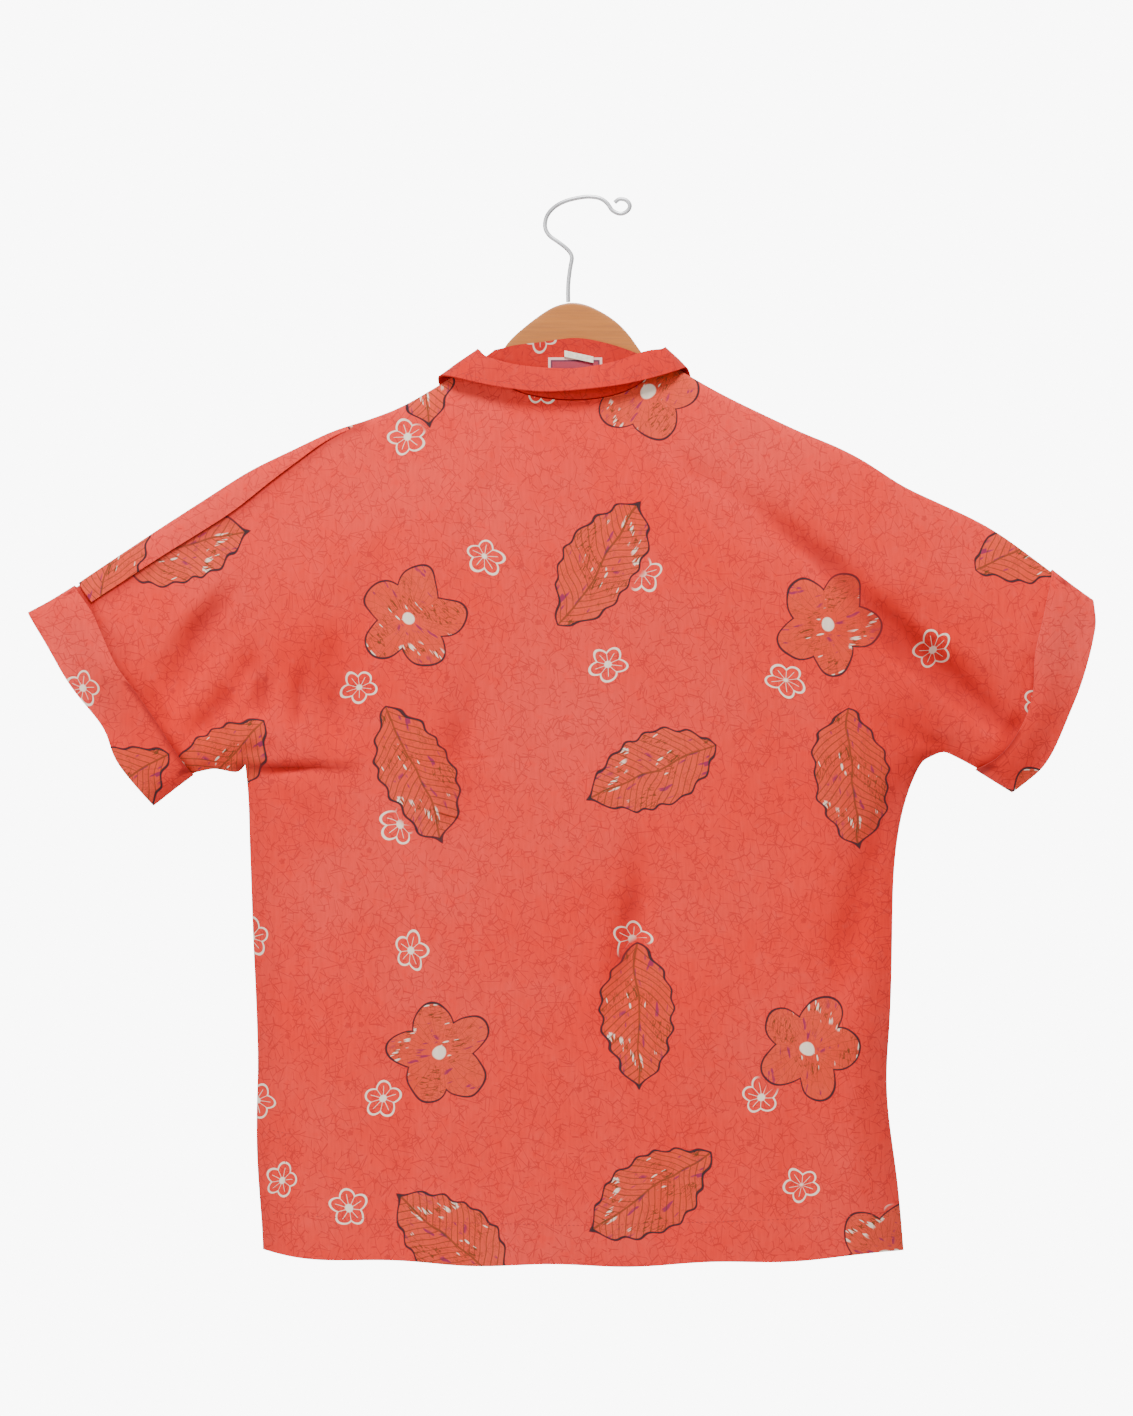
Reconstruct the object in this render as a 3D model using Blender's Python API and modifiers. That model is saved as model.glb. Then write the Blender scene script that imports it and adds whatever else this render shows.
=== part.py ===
"""Short-sleeved shirt with kimono sleeves, hung flat on a wooden hanger.

The back faces -Y and the buttoned fronts face +Y. The origin is the point of the
steel hook that rests on whatever it hangs from. Every table is in millimetres.
"""
import math

import bmesh
import bpy
from mathutils import Vector

MM = 0.001
CLOTH = 1.2                # wall of every shirt panel
SEAM_HALF_GAP = 0.16       # half the space between back and front at a seam
SEAM_GAP = 0.3             # space between a body's wall and its sleeve's
LAY_GAP = 0.35             # space between a piece and the panel that it lies on
CUFF_GAP = .75             # space between a turned-up cuff and its sleeve
CUFF_FLARE = (5.0, 1.6, 0) # how far each ring of a cuff stands off at its middle
BODY_DEPTH = 19.0          # half depth of the hollow at the middle of the body
HEM_DEPTH_GAIN = 5.0       # how much deeper the hollow is at the hem
SLEEVE_DEPTH = 12.0        # half depth of the hollow in a sleeve
NECK_DEPTH = 16.0          # half depth of the neck opening at the centre back
SLEEVE_START = 215.0       # distance from the centre line where a sleeve begins
SLEEVE_BLEND = 110.0       # width over which the body's depth becomes the sleeve's
HEM_GAIN_START = -420.0    # height below which the hollow deepens to the hem
VENT_GAP = 2.5             # how far back and front part at the side vents
VENT_TOP = -740.0
VENT_BLEND = 100.0
SHOULDER_HALF = (9.0, 7.0) # half depth just under the shoulder line: body, sleeve
SHOULDER_SLOPE = .12       # how fast it deepens away from the shoulder line
NECK_BLEND = 70.0          # distance from the neck seam where its hollow has faded
NECK_FULLNESS = .6         # exponent of the neck hollow's form, fuller when smaller
FOLD_FREE = 8.0            # half depth of the hollow from which folds are full
HANGER_BAND = 45.0         # distance under the shoulder line that the hanger fills
HANGER_BLEND = 40.0
HANGER_FOLDS = .25         # share of a fold's depth that is left over the hanger
EDGE_ROUNDING = 52.0       # width over which a side or underarm rounds away
SHOULDER_ROUNDING = 16.0   # width over which the cloth rounds over the hanger
CENTRE_X = -16.0           # centre line of shirt and hanger
LAP_HALF = 15.0            # half width of the lapped button placket
LAP_LIFT = 2.6             # how far the upper front stands off the lower one
LAP_EDGE = 34.0            # how far past the lap the lift begins
LAP_BLEND = 25.0
HEM_Z = -840.0
HEM_DIP = 9.0              # how much lower the hem is at its middle
UNDERARM_ROW = -451.0
FRONT_NECK_Z = -196.0
BODY_COLUMNS = 12
SLEEVE_COLUMNS = 11
NECK_COLUMNS = 5 / 12       # share of the body's columns that end at the neck
ARMPIT_REACH = .46         # share of the overarm above the armpit column
CUFF_REACH = .897          # share of the overarm where the cuff's free edge meets it
ROLL_SHARES = (1, .88, .74, .6, .48, .34, .2, .08)
ROLL_GAP = .95             # space between the rolled edge and the back
ROLL_FIRST_ROW = 11        # row of the panel where the rolled edge ends
ROLL_END = .8              # where between its last column and the cuff it stops
ROLL_TIP = .10             # share of its width that is left at its neck end
ROLL_TAPER = 4.5           # columns over which it widens
COLLAR_WALL = 1.5
COLLAR_TURN = 1.6          # radius of the collar's fold
COLLAR_BELLY = 1.0         # how far the collar's hanging part bulges up
COLLAR_BELLY_AT = .55      # share of its height where it does
ARM_TAPER = .45            # share of its height that an arm loses to its end
WOOD_EDGE = 1.6            # radius of the wood's edges
BUTTON_EDGE = .5
BUTTON_SEAT = .2           # more space under a button
BUTTON_RADIUS = 5.6
BUTTON_THICKNESS = 2.4
BUTTON_Z = (-226.0, -344.0, -462.0, -580.0, -698.0)
WIRE_RADIUS = 1.85
WOOD_HALF = 5.5

# side seam: height, x of the left side, x of the right side
SIDE = [(-840, -263, 249), (-815, -264, 247), (-775, -268, 244), (-739, -269, 237),
        (-700, -267, 235), (-650, -268, 239), (-593, -271, 240), (-532, -273, 241),
        (-509, -274, 244), (-487, -274, 249), (-468, -275, 252), (-452, -277, 262)]
# overarm line from the neck point to the sleeve end: x, z
OVERARM = {
    "left": [(-87, -128), (-121, -147), (-137, -158), (-157, -169), (-175, -174),
             (-208, -187), (-222, -194), (-240, -203), (-271, -217), (-300, -236),
             (-345, -265), (-390, -295), (-415, -312), (-450, -332)],
    "right": [(56, -128), (76, -140), (96, -152), (118, -163), (158, -182),
              (182, -193), (204, -200), (221, -211), (247, -229), (269, -239),
              (302, -254), (326, -267), (362, -294), (400, -322)]}
# underarm line from the side seam to the sleeve end: x, z
UNDERARM = {
    "left": [(-275, -452), (-284, -459), (-302, -455), (-320, -459)],
    "right": [(262, -450), (281, -441), (297, -449), (308, -455)]}
# sleeve end from the underarm up to the overarm: x, z
SLEEVE_END = {
    "left": [(-352, -483), (-372, -459), (-384, -442), (-386, -424), (-415, -391),
             (-435, -356), (-450, -332)],
    "right": [(337, -473), (360, -454), (369, -438), (379, -413), (389, -390),
              (398, -359), (402, -339), (400, -322)]}
# free edge of the turned-up cuff, from the underarm up to the overarm: x, z
CUFF_EDGE = {
    "left": [(-320, -459), (-334, -440), (-344, -423), (-366, -392), (-379, -377),
             (-390, -354), (-399, -334), (-415, -314)],
    "right": [(308, -455), (327, -445), (343, -421), (351, -403), (353, -388),
              (352, -368), (360, -345), (371, -302)]}
# neck seam at the back from the left neck point to the right one: x, z
BACK_NECK = [(-87, -128), (-72, -151), (-52, -159), (-27, -163), (-8, -163),
             (15, -160), (40, -151), (56, -128)]

# large folds: from x, z to x, z, half width, depth (a ridge is negative)
FOLDS = {
    "back": [(-282, -310, -348, -424, 16, 5.0), (-262, -345, -322, -436, 13, 4.0),
             (-206, -300, -212, -415, 18, 4.0), (-66, -190, -88, -270, 14, 2.5),
             (50, -196, 126, -250, 15, 4.0), (126, -250, 200, -319, 17, 6.0),
             (200, -319, 318, -408, 15, 6.0), (35, -520, 6, -672, 22, 4.0),
             (232, -505, 192, -645, 20, 5.0), (-262, -452, -200, -446, 9, 4.0),
             (-150, -640, -162, -800, 24, 3.0), (96, -700, 104, -830, 24, 3.0)],
    "front": [(-276, -318, -340, -420, 17, 4.5), (-204, -310, -190, -430, 19, 4.0),
              (196, -300, 306, -404, 16, 5.5), (120, -240, 190, -300, 15, 3.5),
              (-120, -520, -100, -690, 22, 4.0), (112, -500, 98, -650, 22, 4.5),
              (-190, -660, -180, -800, 24, 3.0), (176, -680, 168, -810, 24, 3.0)]}

# heights across the panel's grid, as shares of a column: low part, upper part
LOWER_ROWS = [0, .05, .13, .21, .29, .37, .45, .53, .61, .69, .77, .85, .93, 1]
UPPER_ROWS = [0, .035, .09, .17, .27, .37, .47, .57, .67, .76, .84, .9, .945, .975,
              .99, 1]


def lerp(a, b, t):
    return a + (b - a) * t


def along(points, t):
    """Point at share t of the length of a line through the points."""
    steps = [math.dist(a, b) for a, b in zip(points, points[1:])]
    left = min(max(t, 0), 1) * sum(steps)
    for a, b, step in zip(points, points[1:], steps):
        if left <= step or b is points[-1]:
            return tuple(lerp(p, q, min(left / step, 1)) for p, q in zip(a, b))
        left -= step


def read(table, key, column, key_column=0):
    """Value of a column of the table where its key column equals key."""
    rows = sorted(table, key=lambda row: row[key_column])
    if key <= rows[0][key_column]:
        return rows[0][column]
    for low, high in zip(rows, rows[1:]):
        if key <= high[key_column]:
            share = (key - low[key_column]) / (high[key_column] - low[key_column])
            return lerp(low[column], high[column], share)
    return rows[-1][column]


def distance(point, line):
    """Shortest distance from the point to the line through the line's points."""
    best = 1e9
    for a, b in zip(line, line[1:]):
        run = (b[0] - a[0], b[1] - a[1])
        length = run[0] ** 2 + run[1] ** 2
        t = ((point[0] - a[0]) * run[0] + (point[1] - a[1]) * run[1]) / length
        t = min(max(t, 0), 1)
        best = min(best, math.dist(point, (a[0] + run[0] * t, a[1] + run[1] * t)))
    return best


def smooth(t):
    t = min(max(t, 0), 1)
    return t * t * (3 - 2 * t)


def rounded(share):
    """Quarter of an ellipse: 0 at the edge, 1 from the rounding's width on."""
    share = min(max(share, 0), 1)
    return math.sqrt(share * (2 - share))


def fold_depth(point, folds):
    """How far the folds push the cloth inwards at the point."""
    total = 0
    for x0, z0, x1, z1, half_width, depth in folds:
        run = (x1 - x0, z1 - z0)
        t = ((point[0] - x0) * run[0] + (point[1] - z0) * run[1])
        t /= run[0] ** 2 + run[1] ** 2
        inside = min(max(t, 0), 1)
        away = math.dist(point, (x0 + run[0] * inside, z0 + run[1] * inside))
        swell = math.sin(math.pi * min(max(.12 + .76 * inside, 0), 1))
        total += depth * swell * math.exp(-(away / half_width) ** 2)
    return total


def side_of(point):
    return "left" if point[0] < CENTRE_X else "right"


def hollow(point):
    """Half depth of the hollow between back and front at a point of the plan."""
    x, z = point
    side = side_of(point)
    seams = [(row[1 if side == "left" else 2], row[0]) for row in SIDE]
    to_side = distance(point, seams)
    to_under = distance(point, UNDERARM[side] + SLEEVE_END[side][:1])
    to_over = distance(point, OVERARM[side])
    sleeve = smooth((abs(x - CENTRE_X) - SLEEVE_START) / SLEEVE_BLEND)
    low = smooth((HEM_GAIN_START - z) / (HEM_GAIN_START - HEM_Z))
    deep = lerp(BODY_DEPTH + HEM_DEPTH_GAIN * low, SLEEVE_DEPTH, sleeve)
    edge = min(to_side, to_under)
    vent = VENT_GAP * smooth((VENT_TOP - z) / VENT_BLEND)
    value = deep * rounded(edge / EDGE_ROUNDING)
    top = lerp(*SHOULDER_HALF, sleeve)
    top += max(to_over - SHOULDER_ROUNDING, 0) * SHOULDER_SLOPE
    value = min(value, top * rounded(to_over / SHOULDER_ROUNDING))
    return SEAM_HALF_GAP + vent + value


def neck_share(x):
    """1 at the middle of the neck opening and 0 at its two ends."""
    left, right = BACK_NECK[0][0], BACK_NECK[-1][0]
    share = 2 * (x - left) / (right - left) - 1
    return math.sqrt(max(1 - share * share, 0))


def back_hollow(point):
    """The hollow, widened round the neck opening."""
    value = hollow(point)
    away = distance(point, BACK_NECK)
    near = 1 - smooth(away / NECK_BLEND)
    wish = SEAM_HALF_GAP + NECK_DEPTH * neck_share(point[0]) ** NECK_FULLNESS
    return max(value, lerp(value, wish, near))


def panel_columns(side, neck):
    """Plan points of half a panel, column by column from the centre out."""
    seam = 1 if side == "left" else 2
    row_z = UNDERARM_ROW
    armpit = (read(SIDE, row_z, seam), row_z)
    over = OVERARM[side]
    cuff_line, end_line = CUFF_EDGE[side], SLEEVE_END[side]
    to_cuff = SLEEVE_COLUMNS - 2
    columns = []
    for step in range(BODY_COLUMNS + SLEEVE_COLUMNS + 1):
        sleeve_step = step - BODY_COLUMNS
        lower = []
        if sleeve_step <= 0:
            share = step / BODY_COLUMNS
            foot = (lerp(CENTRE_X, armpit[0], share), row_z)
            if share <= NECK_COLUMNS:
                top = along(neck, 1 - (1 - share / NECK_COLUMNS) ** 1.6)
            else:
                reach = (share - NECK_COLUMNS) / (1 - NECK_COLUMNS)
                top = along(over, ARMPIT_REACH * reach)
            upper = [(lerp(foot[0], top[0], row), lerp(foot[1], top[1], row))
                     for row in UPPER_ROWS]
            for row in LOWER_ROWS[:-1]:
                z = lerp(hem_z(foot[0]), row_z, row)
                lower.append((lerp(CENTRE_X, read(SIDE, z, seam), share), z))
        elif sleeve_step <= to_cuff:
            share = sleeve_step / to_cuff
            foot = along(UNDERARM[side], share)
            top = along(over, lerp(ARMPIT_REACH, CUFF_REACH, share))
            upper = bent_line(foot, top, cuff_line, share ** 2)
        else:
            share = (sleeve_step - to_cuff) / 2
            upper = [tuple(lerp(p, q, share) for p, q in zip(along(cuff_line, row),
                                                             along(end_line, row)))
                     for row in UPPER_ROWS]
        columns.append((lower, upper))
    return columns


def bent_line(foot, top, model, amount):
    """Points of a column that bends a share as much as the model line."""
    points = []
    for row in UPPER_ROWS:
        bent = along(model, row)
        point = [lerp(a, b, row) for a, b in zip(foot, top)]
        chord = [lerp(a, b, row) for a, b in zip(model[0], model[-1])]
        points.append(tuple(p + (b - c) * amount
                            for p, b, c in zip(point, bent, chord)))
    return points


def hem_z(x):
    share = (x - CENTRE_X) / 262
    return HEM_Z - HEM_DIP * max(1 - share * share, 0) - 1.5 * math.sin(x / 21)


def wall_object(name, plan_faces, plan, inner_y, slopes, outward, wall=CLOTH):
    """Closed wall over a plan: an inner skin, and an outer one a wall away."""
    mesh = bpy.data.meshes.new(name)
    bm = bmesh.new()
    used = sorted({i for face in plan_faces for i in face})
    inner, outer = {}, {}
    for i in used:
        (x, z), y = plan[i], inner_y[i]
        inner[i] = bm.verts.new((x * MM, outward * y * MM, z * MM))
        y += wall * slopes[i]
        outer[i] = bm.verts.new((x * MM, outward * y * MM, z * MM))
    uses = {}
    for face in plan_faces:
        bm.faces.new([outer[i] for i in face])
        bm.faces.new([inner[i] for i in reversed(face)])
        for a, b in zip(face, face[1:] + face[:1]):
            uses.setdefault(frozenset((a, b)), []).append((a, b))
    for pairs in uses.values():
        if len(pairs) == 1:
            a, b = pairs[0]
            bm.faces.new([outer[b], outer[a], inner[a], inner[b]])
    bmesh.ops.recalc_face_normals(bm, faces=bm.faces)
    bm.to_mesh(mesh)
    bm.free()
    mesh.shade_smooth()
    mesh.set_sharp_from_angle(angle=math.radians(50))
    return bpy.data.objects.new(name, mesh)


def slope_factors(plan, faces, height):
    """How much longer a wall is along Y where the skin slopes."""
    steep = [1.0] * len(plan)
    for face in faces:
        a, b, c = (Vector((plan[i][0], height[i], plan[i][1])) for i in face[:3])
        normal = (b - a).cross(c - a)
        if normal.length > 0:
            factor = min(normal.length / max(abs(normal.y), 1e-9), 1.7)
            for i in face:
                steep[i] = max(steep[i], factor)
    return steep


def grid_panel(halves):
    """Plan points of the halves' columns, and the faces with the strip of each."""
    plan, faces, strips, index = [], [], [], {}

    def vertex(point):
        key = (round(point[0], 3), round(point[1], 3))
        if key not in index:
            index[key] = len(plan)
            plan.append(point)
        return index[key]

    for columns in halves:
        first_strip = SLEEVE_COLUMNS - len(columns) + 1
        for strip, (one, two) in enumerate(zip(columns, columns[1:]), first_strip):
            pairs = [(one[1], two[1])]
            if one[0] and two[0]:
                pairs.append((one[0] + one[1][:1], two[0] + two[1][:1]))
            for a, b in pairs:
                for i in range(len(a) - 1):
                    face = [vertex(p) for p in (a[i], b[i], b[i + 1], a[i + 1])]
                    face = list(dict.fromkeys(face))
                    if len(face) > 2:
                        faces.append(face)
                        strips.append(strip)
    return plan, faces, strips


def panel_walls(name, halves, face, outward, lift=None):
    """A panel as its body's wall and the walls of the sleeves cut in one with it."""
    plan, faces, strips = grid_panel(halves)
    heights = panel_heights(plan, face, lift)
    slopes = slope_factors(plan, faces, heights)
    body = [f for f, strip in zip(faces, strips) if strip < 0]
    walls = [wall_object(name, body, plan, heights, slopes, outward)]
    in_body = {i for f in body for i in f}
    for side, sign in (("left", -1), ("right", 1)):
        sleeve = [f for f, strip in zip(faces, strips) if strip >= 0
                  and sign * (plan[f[0]][0] - CENTRE_X) > 0]
        if sleeve:
            shifted = [(x + sign * SEAM_GAP, z) if i in in_body else (x, z)
                       for i, (x, z) in enumerate(plan)]
            walls.append(wall_object("%s_sleeve_%s" % (name.split("_")[0], side),
                                     sleeve, shifted, heights, slopes, outward))
    return walls


def front_neck(side):
    """Front neck seam from the middle up to the neck point."""
    end = OVERARM[side][0]
    low = (CENTRE_X, FRONT_NECK_Z)
    points = []
    for step in range(9):
        turn = math.radians(90) * step / 8
        points.append((lerp(low[0], end[0], math.sin(turn)),
                       lerp(end[1], low[1], math.cos(turn))))
    return points


def half_columns(side, face):
    """Columns of one half of the back or of a front."""
    if face == "back":
        neck = [p for p in BACK_NECK if (p[0] < CENTRE_X) == (side == "left")]
        middle = (CENTRE_X, read(BACK_NECK, CENTRE_X, 1))
        neck = [middle] + (neck[::-1] if side == "left" else neck)
    else:
        neck = front_neck(side)
    return panel_columns(side, neck)


def panel_heights(plan, face, lift=None):
    """Inner half depth of the panel at each plan point, folds included."""
    heights = []
    for point in plan:
        value = back_hollow(point) if face == "back" else hollow(point)
        free = min(max(value - SEAM_HALF_GAP, 0) / FOLD_FREE, 1)
        below = distance(point, OVERARM[side_of(point)]) - HANGER_BAND
        free *= max(smooth(below / HANGER_BLEND), HANGER_FOLDS)
        value -= fold_depth(point, FOLDS[face]) * free
        value = max(value, SEAM_HALF_GAP)
        if lift:
            value += lift(point)
        heights.append(value)
    return heights


def lap_lift(sign):
    """Lifts the upper front, or nothing, across the placket."""
    def lift(point):
        inward = sign * (point[0] - CENTRE_X)
        return LAP_LIFT * smooth((LAP_HALF + LAP_EDGE + inward) / LAP_BLEND)
    return lift


def back_panel():
    return panel_walls("back", [half_columns(side, "back") for side in OVERARM],
                       "back", -1)


def front_panel(side):
    """One front, with its half of the placket past the centre line."""
    sign = 1 if side == "left" else -1
    columns = half_columns(side, "front")
    flap = []
    lower, upper = columns[0]
    for x in (sign * LAP_HALF, sign * LAP_HALF / 2):
        flap.append(([(CENTRE_X + x, z) for _, z in lower],
                     [(CENTRE_X + x, z) for _, z in upper]))
    lift = lap_lift(1) if side == "left" else None
    return panel_walls("front_" + side, [flap + columns], "front", 1, lift)


def panel_sheet(side, face, first, last, rows=slice(None)):
    """Plan points and outer heights of some of a panel's columns and rows."""
    columns = half_columns(side, face)
    plan, faces, _ = grid_panel([columns])
    heights = panel_heights(plan, face)
    slopes = slope_factors(plan, faces, heights)
    where = {(round(x, 3), round(z, 3)): i for i, (x, z) in enumerate(plan)}
    sheet = []
    for _, upper in columns[first:last + 1]:
        line = []
        for x, z in upper[rows]:
            i = where[(round(x, 3), round(z, 3))]
            line.append((x, z, heights[i] + CLOTH * slopes[i]))
        sheet.append(line)
    return sheet


def pushed(point, toward, amount):
    """The plan point moved away from another one."""
    run = (point[0] - toward[0], point[1] - toward[1])
    size = math.hypot(*run)
    return (point[0] + run[0] / size * amount, point[1] + run[1] / size * amount)


def shell_object(name, rows, thickness, closed=False, offset=1.0):
    """Open grid of points given a wall by a Solidify modifier."""
    mesh = bpy.data.meshes.new(name)
    bm = bmesh.new()
    grid = [[bm.verts.new([v * MM for v in point]) for point in row] for row in rows]
    for a, b in zip(grid, grid[1:]):
        count = len(a) if closed else len(a) - 1
        for i in range(count):
            j = (i + 1) % len(a)
            bm.faces.new([a[i], a[j], b[j], b[i]])
    bm.to_mesh(mesh)
    bm.free()
    mesh.shade_smooth()
    mesh.set_sharp_from_angle(angle=math.radians(50))
    piece = bpy.data.objects.new(name, mesh)
    wall = piece.modifiers.new("wall", "SOLIDIFY")
    wall.thickness = thickness * MM
    wall.offset = offset
    return piece


def cuff(side):
    """Turned-up cuff: a ring round the sleeve's last columns."""
    first = BODY_COLUMNS + SLEEVE_COLUMNS - 2
    last = first + 2
    back = panel_sheet(side, "back", first, last)
    front = panel_sheet(side, "front", first, last)
    rings = []
    for back_line, front_line, flare in zip(back, front, CUFF_FLARE):
        ring = []
        for line, outward in ((back_line, -1), (front_line[::-1], 1)):
            for i, (x, z, y) in enumerate(line):
                y += flare * math.sin(math.pi * i / (len(line) - 1))
                if i == 0:
                    x, z = pushed((x, z), line[1], 1.0)
                elif i == len(line) - 1:
                    x, z = pushed((x, z), line[-2], 1.0)
                ring.append((x, outward * (y + CUFF_GAP), z))
        rings.append(ring)
    if side == "right":
        rings = rings[::-1]
    return shell_object("cuff_" + side, rings, 1.4, closed=True)


def overarm_roll():
    """The left front's edge where it rolls over the shoulder on to the back."""
    first, last = BODY_COLUMNS - 3, BODY_COLUMNS + SLEEVE_COLUMNS - 2
    lines = panel_sheet("left", "back", first, last, slice(ROLL_FIRST_ROW, None))
    lines[-1] = [tuple(lerp(a, b, ROLL_END) for a, b in zip(*pair))
                 for pair in zip(lines[-2], lines[-1])]
    strip = []
    for step, line in enumerate(lines):
        width = lerp(ROLL_TIP, 1, smooth(step / ROLL_TAPER))
        x, z = pushed(line[-1][:2], line[-2][:2], .9)
        reach = line[-1][2] + ROLL_GAP
        row = [along(line[::-1], width * share) for share in ROLL_SHARES]
        row = [(px, -(py + ROLL_GAP), pz) for px, pz, py in row]
        strip.append(row + [(x, -reach, z), (x, 0, z), (x, reach, z)])
    return shell_object("overarm_roll", strip, 1.1)


# collar sections round the neck, from the left front over the back to the right
# front: seam x, y, z, fold x, y, z, edge x, y, z
COLLAR = [
    (-20, 21.5, -192, -24, 22.5, -184, -62, 25, -238),
    (-48, 17.5, -173, -53, 20, -160, -92, 22, -208),
    (-74, 11.5, -147, -80, 15, -137, -113, 18.5, -170),
    (-88, 0, -124.5, -91, 1.5, -119.5, -123.5, 3, -143.5),
    (-79, -11.5, -136.5, -84, -13.5, -127, -112, -15.5, -143),
    (-62, -14.8, -153.0, -63, -16.5, -133.5, -82, -20.5, -150),
    (-38, -17.0, -159.4, -38, -19, -136.5, -44, -25, -155.5),
    (-12, -17.4, -161.4, -12, -19.5, -137, -12, -27, -154.5),
    (18, -16.6, -157.4, 18, -18.5, -131.5, 24, -25, -150),
    (40, -13.6, -146.6, 42, -15.5, -123, 52, -19.5, -143),
    (52, -10.0, -130.5, 55, -11.5, -121, 68, -14.5, -138),
    (57, 0, -124.5, 58, 1.5, -119, 77.5, 3, -136.5),
    (43, 11.5, -147, 48, 15, -137, 81, 18.5, -170),
    (16, 17.5, -173, 21, 20, -160, 60, 22, -208),
    (-8, 17.5, -192, -6, 19.5, -184, 30, 25, -238)]
# inner band: foot x, y, z, top x, y, z
STAND = [
    (-74, -7.6, -141, -76, -7.4, -121), (-62, -11.6, -156, -62, -8.2, -117.5),
    (-38, -14.0, -165, -40, -8.4, -115), (-12, -14.6, -167, -12, -8.4, -111.5),
    (18, -13.8, -163, 16, -8.4, -117), (40, -10.8, -151, 36, -8.0, -124)]
LABEL = (-35, 8, -150, -127.5)       # left, right, foot and top of the label
LOOP = (-22, 1, -124.5, -129.5)      # left, right, height at the left and right
LOOP_HALF_HEIGHT = 2.5
# steel wire from the wood up and round to the rolled eye: x, z
HOOK = [(-19, -82.0), (-19, -68), (-17.3, -54), (-16, -46), (-19.5, -40), (-27, -34),
        (-34, -29), (-37.6, -22), (-36, -13), (-30, -6), (-22, -1.6), (-13, .9),
        (-4, 2.2), (4, 1.6), (9, -.4), (13, -4), (16.5, -9), (23, -11.6), (28.6, -9),
        (30.4, -4.6), (27.4, -.6), (22, .4), (18.2, -2.4)]
# hump of the hanger between its arms: x, z
HUMP = [(-74, -128), (-70, -116), (-53, -101), (-36, -88.5), (-27, -84.4),
        (-16, -82), (-5, -84), (4, -88), (18, -96), (31, -109), (41, -126)]
ARM_HEIGHT = 30.0
ARM_REACH = (-239.0, 207.0)
ARM_CLEARANCE = 5.6
NECK_CLEARANCE = 12.0


def spline_rows(table, steps):
    """Catmull-Rom rows through the table's rows."""
    rows = []
    for i in range(len(table) - 1):
        four = [table[max(i - 1, 0)], table[i], table[i + 1],
                table[min(i + 2, len(table) - 1)]]
        for step in range(steps):
            t = step / steps
            rows.append(tuple(
                .5 * (2 * b + (c - a) * t + (2 * a - 5 * b + 4 * c - d) * t ** 2
                      + (3 * b - a - 3 * c + d) * t ** 3)
                for a, b, c, d in zip(*four)))
    return rows + [tuple(table[-1])]


def collar_fall():
    """Outer collar: up from the neck seam, over a soft fold and down."""
    rows = []
    for row in spline_rows(COLLAR, 3):
        seam, fold, edge = (Vector(row[i:i + 3]) for i in (0, 3, 6))
        up, down = (fold - seam), (edge - fold)
        rise, drop = up.normalized() * COLLAR_TURN, down.normalized() * COLLAR_TURN
        belly = fold + down * COLLAR_BELLY_AT + Vector((0, 0, COLLAR_BELLY))
        rows.append([seam, seam + up / 2, fold - rise, fold + rise / 4 + drop / 2,
                     fold + drop * 2, belly, edge])
    return shell_object("collar_fall", rows, COLLAR_WALL, offset=0)


def stand_point(x, z, outward):
    """Point of the inner band's outer face, moved out."""
    rows = spline_rows(STAND, 4)
    foot_y, foot_z = read(rows, x, 1), read(rows, x, 2)
    top_y, top_z = read(rows, x, 4, 3), read(rows, x, 5, 3)
    y = lerp(foot_y, top_y, (z - foot_z) / (top_z - foot_z))
    return (x, y - CLOTH / 2 - outward, z)


def collar_stand():
    rows = []
    for row in spline_rows(STAND, 3):
        foot, top = Vector(row[:3]), Vector(row[3:])
        rows.append([foot.lerp(top, share) for share in (0, .33, .66, 1)])
    return shell_object("collar_stand", rows, CLOTH, offset=0)


def patch(name, left, right, foot, top, outward, wall, tilt=0):
    """Small flat piece that follows the inner band's outer face."""
    rows = []
    for step in range(7):
        x = lerp(left, right, step / 6)
        slide = tilt * step / 6
        rows.append([stand_point(x, lerp(foot, top, s) + slide, outward + wall / 2)
                     for s in (0, .5, 1)])
    return shell_object(name, rows, wall, offset=0)


def hanger_wood():
    """Flat board with a hump and two sloping arms."""
    def arm(side):
        reach = ARM_REACH[0] if side == "left" else ARM_REACH[1]
        start = HUMP[0][0] if side == "left" else HUMP[-1][0]
        line = []
        for step in range(1, 11):
            x = lerp(start, reach, step / 10)
            clear = lerp(NECK_CLEARANCE, ARM_CLEARANCE, smooth(step / 5))
            line.append((x, read(OVERARM[side], x, 1) - clear))
        return line

    left, right = arm("left"), arm("right")
    foot = [(x, z - ARM_HEIGHT * (1 - ARM_TAPER * i / 9)) for i, (x, z) in enumerate(left)]
    foot = foot[::-1] + [(-40, -160), (CENTRE_X, -155), (8, -158)]
    foot += [(x, z - ARM_HEIGHT * (1 - ARM_TAPER * i / 9)) for i, (x, z) in enumerate(right)]
    outline = left[::-1] + HUMP + right + foot[::-1]
    curve = bpy.data.curves.new("hanger_wood", "CURVE")
    curve.dimensions = "2D"
    curve.fill_mode = "BOTH"
    curve.bevel_depth = WOOD_EDGE * MM
    curve.bevel_resolution = 1
    curve.offset = -WOOD_EDGE * MM
    curve.extrude = (WOOD_HALF - WOOD_EDGE) * MM
    spline = curve.splines.new("POLY")
    spline.points.add(len(outline) - 1)
    for point, (x, z) in zip(spline.points, outline):
        point.co = (x * MM, z * MM, 0, 1)
    spline.use_cyclic_u = True
    board = bpy.data.objects.new("hanger_wood", curve)
    board.rotation_euler = (math.radians(90), 0, 0)
    return board


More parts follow.
